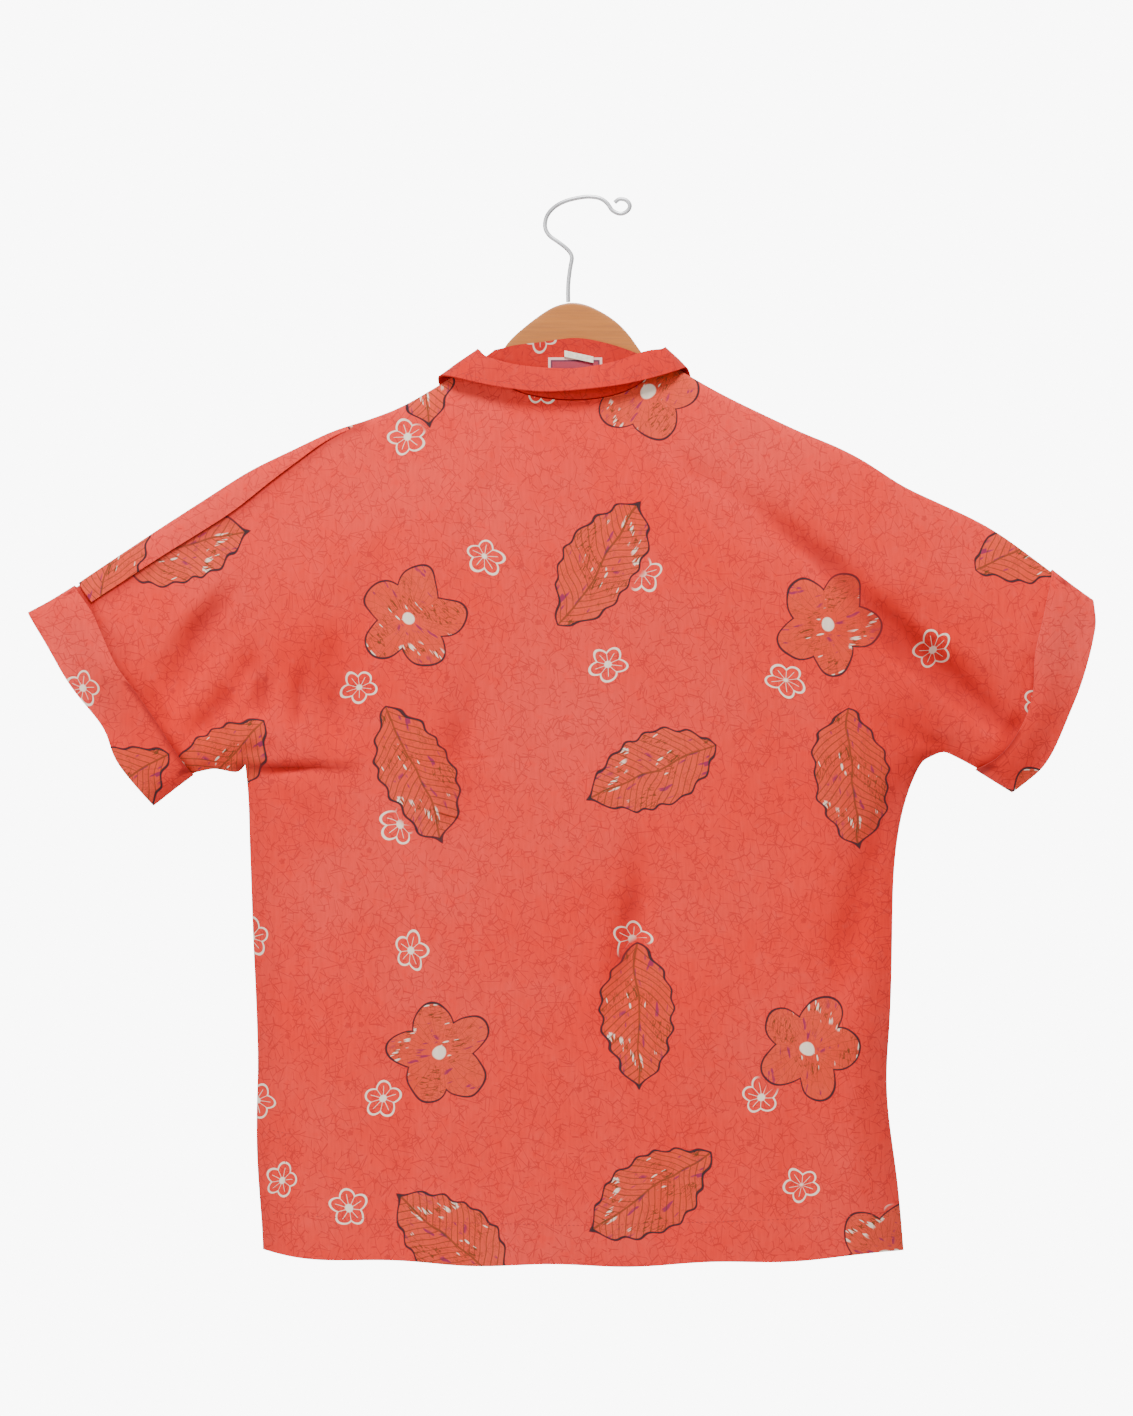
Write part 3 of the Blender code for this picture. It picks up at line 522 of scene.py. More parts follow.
def brushed(g, x, y, local, fill):
    """Olive, plum and cream brush strokes over the fill of a large motif."""
    colour = bpy.context.scene.shirt_colours
    streak = g.join(g.times(x, 300.0), g.times(y, 62.0))
    strokes = g.minus(g.noise(streak, 1.0, 2, .5), .5)
    smear = g.noise(g.vector("ADD", streak, (7.3, 2.1, 0)), .8, 2, .5)
    region = g.noise(local, 42.0, 1, .5)
    olive = g.times(g.band(strokes, .010, .014), g.ramp(region, .50, .58, 0, .85))
    plum = g.times(g.ramp(smear, .58, .62), g.ramp(region, .50, .42, 0, .80))
    pale = g.times(g.ramp(smear, .36, .33), g.ramp(region, .50, .56, 0, .80))
    fill = g.mix(olive, fill, tuple(colour.olive))
    fill = g.mix(plum, fill, tuple(colour.plum))
    return g.mix(pale, fill, tuple(colour.cream))


def large_motifs(g, drawn, ground, amount):
    """Leaves and blossoms over the ground, their signed distance and outline."""
    colour = bpy.context.scene.shirt_colours
    local, random = cells(g, drawn, MOTIF_SPACING, .42)
    leaf, x, y = leaf_field(g, local, *LEAF_HALF)
    flower, far, angle = blossom_field(g, local, BLOSSOM_RADIUS)
    is_leaf = g.math("GREATER_THAN", random[1], BLOSSOM_SHARE)
    is_flower = g.minus(1.0, is_leaf)
    shape = g.plus(g.times(leaf, is_leaf), g.times(flower, is_flower))
    fill = brushed(g, x, y, local, g.mix(.34, ground, tuple(colour.leaf)))
    slant = g.minus(y, g.times(g.size(x), .85))
    vein = g.minus(g.math("PINGPONG", slant, VEIN_PITCH), VEIN_PITCH / 2)
    veins = g.most(g.band(vein, .00025, .0004), g.band(x, .0005, .0005))
    rays = g.times(g.math("SINE", g.times(angle, 15.0)), far)
    rays = g.times(g.band(rays, .0010, .0010), g.ramp(far, .010, .014))
    inner = g.plus(g.times(veins, is_leaf), g.times(rays, is_flower))
    fill = g.mix(g.times(inner, .7), fill, tuple(colour.olive))
    eye = g.ramp(far, .0050, .0062, 1, 0)
    eye = g.math("MULTIPLY", eye, g.minus(.9, is_leaf), clamp=True)
    fill = g.mix(eye, fill, tuple(colour.cream))
    inside = g.times(g.ramp(shape, -.0006, .0004, 1, 0), amount)
    border = g.times(g.band(shape, OUTLINE_HALF, .0004), amount)
    result = g.mix(inside, ground, fill)
    return g.mix(g.times(border, .94), result, tuple(colour.outline)), shape, border


def small_blossoms(g, drawn, shape):
    """Mask of small open blossoms that keep clear of the large motifs."""
    plane = g.vector("ADD", drawn, (.41, .83, 0))
    local, random = cells(g, plane, BUD_SPACING, .55)
    bud, far, angle = blossom_field(g, local, BUD_RADIUS)
    clear = g.times(g.ramp(shape, .002, .010), g.ramp(random[2], .60, .62))
    ring = g.band(bud, .0006, .0005)
    core = g.ramp(far, .0028, .0036, 1, 0)
    spoke = g.times(g.math("SINE", g.times(angle, 5.0)), far)
    spoke = g.times(g.band(spoke, .0007, .0006), g.ramp(far, .011, .010))
    cream = g.most(ring, g.most(core, spoke))
    return g.times(g.times(cream, clear), .92)


def print_group():
    """Coral ground with scribbled lines, large leaves and blossoms, small blossoms."""
    tree, g, given, out = new_group(
        "island_print",
        [("Vector", "NodeSocketVector", None), ("Warm", "NodeSocketFloat", 0.0),
         ("Faded", "NodeSocketFloat", 0.0), ("Large Motifs", "NodeSocketFloat", 1.0)],
        [("Color", "NodeSocketColor"), ("Ink", "NodeSocketFloat")])
    x, _, z = g.split(given["Vector"])
    plane = g.join(x, z)
    shake = g.vector("SUBTRACT", g.noise(plane, 24.0, 1, .5, "Color"), (.5, .5, .5))
    drawn = g.vector("ADD", plane, g.vector("SCALE", shake, scale=.014))
    ground, lines = scribbled_ground(g, plane, given["Warm"], given["Faded"])
    result, shape, border = large_motifs(g, drawn, ground, given["Large Motifs"])
    cream = small_blossoms(g, drawn, shape)
    cream_colour = tuple(bpy.context.scene.shirt_colours.cream)
    g.link(g.mix(cream, result, cream_colour), out["Color"])
    g.link(g.most(lines, border), out["Ink"])
    return tree


def weave_group():
    """Height of a plain weave with slubs."""
    tree, g, given, out = new_group(
        "plain_weave",
        [("Vector", "NodeSocketVector", None), ("Thread Size", "NodeSocketFloat", .0006)],
        [("Height", "NodeSocketFloat"), ("Slub", "NodeSocketFloat")])
    x, y, z = g.split(given["Vector"])
    pitch = g.math("DIVIDE", math.tau, given["Thread Size"])
    along_x = g.math("SINE", g.times(g.plus(x, y), pitch))
    along_z = g.math("SINE", g.times(z, pitch))
    plain = g.times(along_x, along_z)
    streak = g.join(g.times(x, 420.0), g.times(z, 45.0), y)
    slub = g.noise(streak, 1.0, 2, .6)
    g.link(g.math("MULTIPLY_ADD", plain, .5, slub), out["Height"])
    g.link(slub, out["Slub"])
    return tree


def cloud_group():
    """Colour darkened in soft clouds, for tape, thread, buttons and steel."""
    tree, g, given, out = new_group(
        "soft_clouds",
        [("Vector", "NodeSocketVector", None), ("Color", "NodeSocketColor", (1, 1, 1, 1)),
         ("Scale", "NodeSocketFloat", 40.0), ("Amount", "NodeSocketFloat", .2)],
        [("Color", "NodeSocketColor"), ("Value", "NodeSocketFloat")])
    cloud = g.noise(given["Vector"], given["Scale"], 3, .55)
    dark = g.mix(given["Amount"], given["Color"], (0, 0, 0))
    g.link(g.mix(g.ramp(cloud, .35, .65), dark, given["Color"]), out["Color"])
    g.link(cloud, out["Value"])
    return tree


def new_material(name, roughness, metallic=0.0):
    """Material with its shader set and its tree open for more nodes."""
    finish = bpy.data.materials.new(name)
    finish.use_nodes = True
    g = Graph(finish.node_tree)
    shader = finish.node_tree.nodes["Principled BSDF"]
    shader.inputs["Roughness"].default_value = roughness
    shader.inputs["Metallic"].default_value = metallic
    return finish, g, shader


def place_group(g, tree, **values):
    node = g.add("ShaderNodeGroup", node_tree=tree)
    for key, value in values.items():
        g.link(value, node.inputs[key.replace("_", " ")])
    return node.outputs


def bump(g, shader, height, strength, distance):
    node = g.add("ShaderNodeBump")
    node.inputs["Strength"].default_value = strength
    node.inputs["Distance"].default_value = distance
    g.link(height, node.inputs["Height"])
    g.link(node.outputs[0], shader.inputs["Normal"])


def object_coordinates(g, turn=0.0, shift=(0, 0, 0)):
    place = g.add("ShaderNodeMapping")
    place.inputs["Location"].default_value = shift
    place.inputs["Rotation"].default_value = (0, turn, 0)
    g.link(g.add("ShaderNodeTexCoord").outputs["Object"], place.inputs["Vector"])
    return place.outputs[0]


def cloth_material(name, turn=0.0, shift=(0, 0, 0), large=1.0, light=1.0):
    """Printed cotton; turn and shift move the print as it was cut on this piece."""
    groups = bpy.data.node_groups
    finish, g, shader = new_material(name, .88)
    vector = object_coordinates(g, turn, shift)
    warm = g.add("ShaderNodeAttribute", attribute_name="warm").outputs["Fac"]
    faded = g.add("ShaderNodeAttribute", attribute_name="faded").outputs["Fac"]
    ink = place_group(g, groups["island_print"], Vector=vector, Warm=warm, Faded=faded,
                      Large_Motifs=large)
    weave = place_group(g, groups["plain_weave"], Vector=object_coordinates(g))
    # light below 1 darkens the whole piece: painted shade on the collar pieces
    slub = g.ramp(weave["Slub"], .3, .7, .94 * light, 1.03 * light)
    colour = g.mix(1.0, ink["Color"], g.join(slub, slub, slub), "MULTIPLY")
    # painted shade of creases, hollows, ledges, cuffs, the lap and the roll darkens the colour
    # here
    pressed = g.add("ShaderNodeAttribute", attribute_name="pressed").outputs["Fac"]
    colour = g.mix(g.times(pressed, PAINTED_SHADE_SHARE), colour, PAINTED_SHADE_COLOUR)
    g.link(colour, shader.inputs["Base Color"])
    g.link(g.math("MULTIPLY_ADD", ink["Ink"], -.06, .90), shader.inputs["Roughness"])
    for label, value in COTTON_SHEEN.items():
        shader.inputs[label].default_value = value
    bump(g, shader, weave["Height"], .35, .00016)
    return finish


def plain_material(name, colour, roughness, metallic=0.0, scale=60.0, amount=.15,
                   height=.0001):
    """Finish with soft clouds in its colour and a little unevenness."""
    finish, g, shader = new_material(name, roughness, metallic)
    cloud = place_group(g, bpy.data.node_groups["soft_clouds"],
                        Vector=object_coordinates(g), Color=(*colour, 1), Scale=scale,
                        Amount=amount)
    g.link(cloud["Color"], shader.inputs["Base Color"])
    g.link(g.ramp(cloud["Value"], .3, .7, roughness * .85, min(roughness * 1.2, 1)),
           shader.inputs["Roughness"])
    bump(g, shader, cloud["Value"], .3, height)
    return finish


def label_material():
    """Wine red damask, ribbed, with a dark inner line and a pale border."""
    finish, g, shader = new_material("woven_label", .62)
    x, _, z = g.split(object_coordinates(g))
    off_x = g.size(g.minus(x, LABEL_CENTRE[0] * MM))
    off_z = g.size(g.minus(z, LABEL_CENTRE[1] * MM))
    past_x = g.minus(off_x, (LABEL_HALF[0] - LABEL_ROUND) * MM)
    past_z = g.minus(off_z, (LABEL_HALF[1] - LABEL_ROUND) * MM)
    corner = g.join(g.most(past_x, 0), g.most(past_z, 0))
    within = g.math("MINIMUM", g.most(past_x, past_z), 0)
    border = g.plus(g.vector("LENGTH", corner), within)
    border = g.minus(border, LABEL_ROUND * MM)
    edge = g.ramp(border, -(LABEL_BORDER + .2) * MM, -LABEL_BORDER * MM)
    inner = g.band(g.plus(border, (LABEL_BORDER + .9) * MM), .5 * MM, .2 * MM)
    rib = g.math("SINE", g.times(z, math.tau / (LABEL_RIB * MM)))
    wine = g.mix(g.ramp(rib, -1, 1, 0, .35), WINE, WINE_LIGHT)
    wine = g.mix(g.times(inner, .8), wine, LABEL_DARK)
    g.link(g.mix(edge, wine, LABEL_PALE), shader.inputs["Base Color"])
    bump(g, shader, rib, .4, .0001)
    return finish


def wood_material(looks):
    """Pale varnished wood with long grain, darker towards the middle of its edge."""
    finish, g, shader = new_material("varnished_wood", .42)
    x, y, z = g.split(object_coordinates(g))
    long_grain, fine = (
        g.noise(g.join(g.times(x, along), g.times(z, across), g.times(y, across)), 1.0,
                detail, rough) for along, across, detail, rough in GRAINS)
    colour = g.mix(g.ramp(long_grain, .38, .68, 0, .60), tuple(looks.wood),
                   tuple(looks.wood_dark))
    colour = g.mix(g.ramp(fine, .55, .72, 0, .30), colour, tuple(looks.wood_dark))
    side = g.ramp(g.size(y), *BOARD_EDGE, .55, 0)
    colour = g.mix(side, colour, tuple(looks.wood_dark))
    g.link(colour, shader.inputs["Base Color"])
    shader.inputs["Coat Weight"].default_value = .25
    shader.inputs["Coat Roughness"].default_value = .25
    g.link(g.ramp(fine, .3, .7, .36, .50), shader.inputs["Roughness"])
    bump(g, shader, fine, .25, .0001)
    return finish


# ---------------------------------------------------------------- meshes

def deselect():
    for thing in list(bpy.context.selected_objects):
        thing.select_set(False)


def select_only(thing):
    deselect()
    thing.select_set(True)
    bpy.context.view_layer.objects.active = thing


def select_faces(piece, chosen):
    """Leaves selected, in edit mode, just the faces that pass the test."""
    select_only(piece)
    bpy.ops.object.mode_set(mode="EDIT")
    bpy.ops.mesh.select_mode(type="FACE")
    bpy.ops.mesh.select_all(action="DESELECT")
    bpy.ops.object.mode_set(mode="OBJECT")
    for face in piece.data.polygons:
        face.select = chosen(face)


def joined_copy(name, nodes):
    """Copy of some nodes as one piece, with a wall that runs on between them."""
    copies = []
    for node in nodes:
        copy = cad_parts[node].copy()
        copy.data = copy.data.copy()
        copy.parent = None
        copy.matrix_world.identity()
        bpy.context.scene.collection.objects.link(copy)
        copies.append(copy)
    if len(copies) > 1:
        drop_joint_faces(copies)
    select_only(copies[0])
    for copy in copies:
        copy.select_set(True)
    if len(copies) > 1:
        bpy.ops.object.join()
    piece = bpy.context.view_layer.objects.active
    piece.name = name
    piece.data.name = name
    piece.data.materials.clear()
    bpy.ops.object.mode_set(mode="EDIT")
    bpy.ops.mesh.select_all(action="SELECT")
    bpy.ops.mesh.remove_doubles(threshold=JOIN_GAP if len(nodes) > 1 else WELD)
    bpy.ops.mesh.customdata_custom_splitnormals_clear()
    bpy.ops.mesh.tris_convert_to_quads(face_threshold=math.radians(70),
                                       shape_threshold=math.radians(60))
    bpy.ops.mesh.select_all(action="DESELECT")
    bpy.ops.object.mode_set(mode="OBJECT")
    return piece


def drop_joint_faces(copies):
    """Deletes the end faces with which the walls of neighbouring nodes meet."""
    points = [[vertex.co.copy() for vertex in copy.data.vertices] for copy in copies]
    for number, copy in enumerate(copies):
        others = [co for i, group in enumerate(points) if i != number for co in group]
        tree = KDTree(len(others))
        for i, co in enumerate(others):
            tree.insert(co, i)
        tree.balance()
        met = {i for i, co in enumerate(points[number]) if tree.find(co)[2] < JOIN_GAP}
        select_faces(copy, lambda face: met.issuperset(face.vertices))
        bpy.ops.object.mode_set(mode="EDIT")
        bpy.ops.mesh.delete(type="FACE")
        bpy.ops.object.mode_set(mode="OBJECT")


def keep_sharp(piece, degrees):
    """Creases the edges where the faces turn by more than the angle."""
    mesh = piece.data
    faces_of = {}
    for face in mesh.polygons:
        for key in face.edge_keys:
            faces_of.setdefault(key, []).append(face.normal)
    crease = mesh.attributes.new("crease_edge", "FLOAT", "EDGE")
    limit = math.cos(math.radians(degrees))
    for edge in mesh.edges:
        normals = faces_of.get(tuple(sorted(edge.vertices)), [])
        sharp = len(normals) != 2 or normals[0].dot(normals[1]) < limit
        crease.data[edge.index].value = 1.0 if sharp else 0.0


def refine(piece, levels):
    modifier = piece.modifiers.new("refine", "SUBSURF")
    modifier.levels = levels
    modifier.render_levels = levels
    select_only(piece)
    bpy.ops.object.modifier_apply(modifier=modifier.name)


def smooth_copy(name, nodes, sharp, levels=FINE):
    """Joined copy of some nodes, refined, with its edges over an angle kept sharp."""
    piece = joined_copy(name, nodes)
    keep_sharp(piece, sharp)
    refine(piece, levels)
    return piece


def finish_piece(piece, material, nodes):
    """Gives a piece its finish, its body and the nodes that it stands for."""
    piece.data.materials.clear()
    piece.data.materials.append(material)
    select_only(piece)
    bpy.ops.object.shade_smooth_by_angle(angle=math.radians(SMOOTH_UNDER))
    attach(piece, BODY)
    if nodes:
        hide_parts(*nodes)


def finish_cloth(piece, nodes, cut, **looks):
    """Gives a piece the printed cotton, cut with the print turned and shifted so."""
    name = "print_" + piece.name.removeprefix("cloth_")
    finish_piece(piece, cloth_material(name, *cut, **looks), nodes)


def cloth_surface(piece):
    """Search tree of a piece's mesh."""
    mesh = piece.data
    return BVHTree.FromPolygons([v.co for v in mesh.vertices],
                                [tuple(p.vertices) for p in mesh.polygons])


# ---------------------------------------------------------------- folds and shade of the cloth

def clamp(share):
    return min(max(share, 0), 1)


def eased(share):
    share = clamp(share)
    return share * share * (3 - 2 * share)


def arch(share, before, power):
    """0 to 1 to 0 again along a run that starts a little before its first end."""
    return math.sin(math.pi * clamp((share + before) / RUN_LENGTH)) ** power


def freedom(co):
    """0 where a seam holds the cloth, 1 where it can be pushed in or out."""
    return clamp((abs(co.y) - SEAM_HOLD) / SEAM_EASE)


def ledge_rise(point, ledges):
    """How far the ledges hold the cloth out at a point in metres."""
    x, z, total = point[0] / MM, point[2] / MM, 0.0
    for x0, z0, x1, z1, rise, fade in ledges:
        share = (x - x0) / (x1 - x0)
        if -.1 < share < 1.2:
            above = z - (z0 + (z1 - z0) * share)
            reach = fade if above > 0 else LEDGE_UNDER
            total += rise * arch(share, .1, .7) * math.exp(-(above / reach) ** 2)
    return total * MM


def crease_shift(point, creases):
    """How far the creases push the cloth inwards at a point in metres."""
    x, z, total = point[0] / MM, point[2] / MM, 0.0
    for x0, z0, x1, z1, half_width, depth, bow in creases:
        run_x, run_z = x1 - x0, z1 - z0
        length = math.hypot(run_x, run_z)
        run_x, run_z = run_x / length, run_z / length
        along = ((x - x0) * run_x + (z - z0) * run_z) / length
        if -.15 < along < 1.15:
            across = (x - x0) * run_z - (z - z0) * run_x
            across -= bow * math.sin(math.pi * along)
            if abs(across) < half_width * 3:
                ease = arch(along, .15, 1.4)
                uneven = .75 + .5 * noise.noise(Vector((along * 4, x0 * .1, z0 * .1)))
                total += depth * ease * uneven * math.exp(-(across / half_width) ** 2)
    return total * MM


def spot(point, spots):
    """Strength, 0 to 1, of soft round spots at a point in metres."""
    value = 0.0
    for x, z, radius in spots:
        far = math.hypot(point[0] / MM - x, point[2] / MM - z) / radius
        value = max(value, math.exp(-far * far))
    return min(value, 1.0)


def tint(piece, warm_gain=1.0, pale_and_highlight_gain=1.0, creases=(), warm_base=0.0):
    """Stores the painted shade and painted highlight of the cloth: warmer, deeper red and darker
    cloth in creases and shaded spots, and paler pink on the lit shoulders and other pale spots.
    """
    mesh = piece.data
    warm = mesh.attributes.new("warm", "FLOAT", "POINT")
    pressed = mesh.attributes.new("pressed", "FLOAT", "POINT")
    faded = mesh.attributes.new("faded", "FLOAT", "POINT")
    for vertex in mesh.vertices:
        cloud = .7 + .6 * noise.noise(vertex.co * 14)
        sunk = clamp(crease_shift(vertex.co, creases) / CREASE_SHADE_DEPTH)
        warm_shade = warm_gain * cloud * spot(vertex.co, WARM_SHADE_SPOTS) + sunk * (1 - sunk * .3)
        deep = SPOT_SHADE * cloud * spot(vertex.co, SHADE_SPOTS)
        pressed.data[vertex.index].value = max(sunk * sunk * CREASE_SHADE, deep)
        warm.data[vertex.index].value = min(max(warm_shade, warm_base), 1)
        faded.data[vertex.index].value = pale_and_highlight_gain * cloud * spot(vertex.co, HIGHLIGHT_AND_PALE_SPOTS)


def rumpled(piece, creases, ledges, side):
    """Presses creases and a fine rumple into both skins of a panel alike."""
    cloth = bpy.context.scene.shirt_cloth
    for vertex in piece.data.vertices:
        co = vertex.co
        free = freedom(co)
        shift = crease_shift(co, creases) * cloth.crease_depth * free
        wide = noise.noise(Vector((co.x * 11, 0, co.z * 8)))
        fine = noise.noise(Vector((co.x * 34, 3, co.z * 26)))
        shift += cloth.rumple * (wide * 1.6 + fine * .6) * free
        shift -= ledge_rise(co, ledges) * free
        moved = co.y - side * shift
        if abs(co.y) < SEAM_CLOSE:
            co.y = 0
        else:
            co.y = moved if moved * co.y > 0 else co.y * LEAST_DEPTH


def nearest(point, edge):
    """Distance in mm from a point in metres to a line, and the line's value there."""
    x, z = point[0] / MM, point[2] / MM
    best, value = 1e9, 0.0
    for (x0, z0, a), (x1, z1, b) in zip(edge, edge[1:]):
        run_x, run_z = x1 - x0, z1 - z0
        share = ((x - x0) * run_x + (z - z0) * run_z) / (run_x ** 2 + run_z ** 2)
        share = clamp(share)
        far = math.hypot(x - x0 - run_x * share, z - z0 - run_z * share)
        if far < best:
            best, value = far, a + (b - a) * share
    return best, value


def flare(point, edge):
    """How far a cuff stands off the sleeve at a point in metres."""
    far, off = nearest(point, edge)
    return off * math.exp(-(far / FLARE_WIDTH) ** 2) * MM


def dent_cuff(piece):
    """Pushes a cuff's creases out, and its inner edge off the sleeve."""
    edge = CUFF_FLARES[piece.name]
    creases = []
    for x, z, angle, length, half_width, depth in CUFF_DENTS:
        run = Vector((math.cos(math.radians(angle)), math.sin(math.radians(angle))))
        run *= length / 2
        creases.append((x - run.x, z - run.y, x + run.x, z + run.y, half_width, -depth, 3))
    for vertex in piece.data.vertices:
        co = vertex.co
        outward = 1 if co.y > 0 else -1
        push = max(crease_shift(co, creases), 0) + .0003 * noise.noise(co * 40)
        push += flare(co, edge)
        co.y += outward * push * freedom(co)


def deepen(entry, far, strength):
    """Raises a point's shade to what it is at a number of widths from its cause."""
    entry.value = max(entry.value, strength * math.exp(-far ** 2))


def shade_edges(piece, edges, width):
    """Paints shadow into the cloth along lines where another piece of cloth stands off it."""
    pressed = piece.data.attributes["pressed"].data
    for vertex in piece.data.vertices:
        for edge in edges:
            far, off = nearest(vertex.co, edge)
            if far < width * 3:
                strength = min(SHADE_LEAST + off * SHADE_GAIN, 1)
                deepen(pressed[vertex.index], far / width, strength)


def shade_wall(piece, edge, reach):
    """Darkens the cut edge of a cuff, which lies in its own shadow."""
    pressed = piece.data.attributes["pressed"].data
    for vertex in piece.data.vertices:
        far, _ = nearest(vertex.co, edge)
        if far < reach and abs(vertex.normal.y) < WALL_TURN:
            pressed[vertex.index].value = 1.0


def shade_near(piece, other, width, strength):
    """Paints shadow into the cloth of a piece beside another piece that lies on it."""
    pressed = piece.data.attributes["pressed"].data
    tree = KDTree(len(other.data.vertices))
    for vertex in other.data.vertices:
        tree.insert(vertex.co, vertex.index)
    tree.balance()
    for vertex in piece.data.vertices:
        far = tree.find(vertex.co)[2] / MM
        if far < width * 3:
            deepen(pressed[vertex.index], far / width, strength)


# ---------------------------------------------------------------- buttons and stitches

def button_disc(name, low, high):
    """Disc turned to face +Y, its face inset and sunk, with four holes."""
    centre, size = (low + high) / 2, high - low
    deselect()
    bpy.ops.mesh.primitive_cylinder_add(vertices=40, radius=size.x / 2, depth=size.y,
                                        location=centre, rotation=(-math.pi / 2, 0, 0))
    disc = bpy.context.object
    disc.name = name
    disc.data.name = name
    bpy.ops.object.transform_apply(location=True, rotation=True, scale=True)
    select_faces(disc, lambda face: face.normal.y > .9)
    bpy.ops.object.mode_set(mode="EDIT")
    bpy.ops.mesh.inset(thickness=BUTTON_RIM)
    bpy.ops.mesh.inset(thickness=BUTTON_RIM * .6, depth=-BUTTON_DISH)
    bpy.ops.object.mode_set(mode="OBJECT")
    edge = disc.modifiers.new("edge", "BEVEL")
    edge.width = BUTTON_ROUND
    edge.segments = 3
    edge.limit_method = "ANGLE"
    bpy.ops.object.modifier_apply(modifier=edge.name)
    drills = []
    for x in (-HOLE_OFFSET, HOLE_OFFSET):
        for z in (-HOLE_OFFSET, HOLE_OFFSET):
            place = centre + Vector((x, 0, z))
            bpy.ops.mesh.primitive_cylinder_add(
                vertices=16, radius=HOLE_RADIUS, depth=size.y * 2, location=place,
                rotation=(math.pi / 2, 0, 0))
            drills.append(bpy.context.object)
    for drill in drills:
        cut = disc.modifiers.new("hole", "BOOLEAN")
        cut.object = drill
        select_only(disc)
        bpy.ops.object.modifier_apply(modifier=cut.name)
        bpy.data.objects.remove(drill, do_unlink=True)
    return disc


def row_of_stitches(points, surface, facing, cloth):
    """Short thread pieces that lie on the surface along the row."""
    pitch = cloth.stitch_length + cloth.stitch_gap
    lines = []
    for a, b in zip(points, points[1:]):
        start, end = Vector((a[0], 0, a[1])) * MM, Vector((b[0], 0, b[1])) * MM
        count = max(int((end - start).length / pitch), 1)
        for step in range(count):
            ends = []
            for share in (step / count, (step + cloth.stitch_length / pitch) / count):
                plan = start.lerp(end, share)
                origin = Vector((plan.x, facing * .2, plan.z))
                hit, normal, _, _ = surface.ray_cast(origin, Vector((0, -facing, 0)))
                if hit is not None:
                    ends.append((hit, normal))
            if len(ends) == 2 and abs(ends[0][0].y - ends[1][0].y) < STITCH_STEP:
                lines.append((ends[0][0], ends[1][0], ends[0][1]))
    return lines


def stitch_mesh(name, lines, half_width):
    """One mesh of slim thread pieces, each with its points and normal in the list."""
    verts, faces = [], []
    for a, b, normal in lines:
        run = (b - a).normalized()
        side = run.cross(normal).normalized() * half_width
        rise = normal.normalized() * half_width * .55
        base = len(verts)
        middle = (a + b) / 2
        verts += [a, middle + side, middle + rise, middle - side, middle - rise, b]
        for i in range(4):
            j = (i + 1) % 4
            faces.append((base, base + 1 + j, base + 1 + i))
            faces.append((base + 5, base + 1 + i, base + 1 + j))
    mesh = bpy.data.meshes.new(name)
    mesh.from_pydata(verts, [], faces)
    piece = bpy.data.objects.new(name, mesh)
    bpy.context.scene.collection.objects.link(piece)
    return piece


# ---------------------------------------------------------------- operators

class SHIRT_OT_finishes(bpy.types.Operator):
    """Builds the shader groups that the materials share"""
    bl_idname = "shirt.finishes"
    bl_label = "Shared finishes"

    def execute(self, context):
        print_group()
        weave_group()
        cloud_group()
        return {"FINISHED"}


class SHIRT_OT_panels(bpy.types.Operator):
    """Dresses the back and the two fronts, each cut in one with its sleeves"""
    bl_idname = "shirt.panels"
    bl_label = "Back and fronts"

    def execute(self, context):
        levels = context.scene.shirt_cloth.refinement
        for name, nodes in PANEL_NODES.items():
            piece = smooth_copy("cloth_" + name, nodes, PANEL_SHARP, levels)
            back = name == "back"
            face = "back" if back else "front"
            creases = CREASES[face]
            rumpled(piece, creases, LEDGES[face], -1 if back else 1)
            tint(piece, creases=creases)
            shade_edges(piece, CUFF_FLARES.values(), CUFF_SHADE)
            shade_edges(piece, [SHADOWS[face]], LEDGE_SHADE)
            if name == "front_right":
                shade_edges(piece, [LAP_EDGE], LAP_SHADE)
            finish_cloth(piece, nodes, PANEL_PRINT[name])
        return {"FINISHED"}


class SHIRT_OT_cuffs(bpy.types.Operator):
    """Dresses the turned-up cuffs"""
    bl_idname = "shirt.cuffs"
    bl_label = "Cuffs"

    def execute(self, context):
        for name in RINGS:
            piece = smooth_copy("cloth_" + name, [name], PANEL_SHARP)
            dent_cuff(piece)
            tint(piece, warm_gain=.7, pale_and_highlight_gain=1.3)
            shade_wall(piece, CUFF_FLARES[piece.name], CUFF_WALL)
            finish_cloth(piece, [name], CUFF_PRINT[name])
        return {"FINISHED"}


class SHIRT_OT_overarm(bpy.types.Operator):
    """Dresses the front's edge where it rolls over the left shoulder"""
    bl_idname = "shirt.overarm"
    bl_label = "Rolled overarm"

    def execute(self, context):
        piece = smooth_copy("cloth_overarm_roll", ["overarm_roll"], SHARP)
        for vertex in piece.data.vertices:
            near = eased((vertex.co.x - ROLL_FADE[0]) / (ROLL_FADE[1] - ROLL_FADE[0]))
            vertex.co.z -= ROLL_SINK[1] * near
            vertex.co.y *= 1 - ROLL_SINK[0] * near
        tint(piece, warm_gain=.4, pale_and_highlight_gain=1.2)
        shade_near(bpy.data.objects["cloth_back"], piece, *ROLL_SHADOW)
        finish_piece(piece, cloth_material("print_overarm", *ROLL_PRINT),
                     ["overarm_roll"])
        return {"FINISHED"}


class SHIRT_OT_collar(bpy.types.Operator):
    """Dresses the folded collar and its inner band"""
    bl_idname = "shirt.collar"
    bl_label = "Collar"

    def execute(self, context):
        for name, turn, warm, light in COLLAR_LOOKS:
            piece = smooth_copy("cloth_" + name, [name], SHARP)
            for vertex in piece.data.vertices:
                co = vertex.co
                co.y += .0005 * noise.noise(Vector((co.x * 45, 1, co.z * 30)))
                if name == "collar_stand":
                    low = eased((BAND_TOP - co.z) / BAND_SLANT)
                    co.x -= BAND_SLANT * low * eased((BAND_END - co.x) / BAND_EASE)
            tint(piece, pale_and_highlight_gain=.2, warm_base=warm)
            finish_cloth(piece, [name], (turn, COLLAR_SHIFT), large=0.0, light=light)
        return {"FINISHED"}


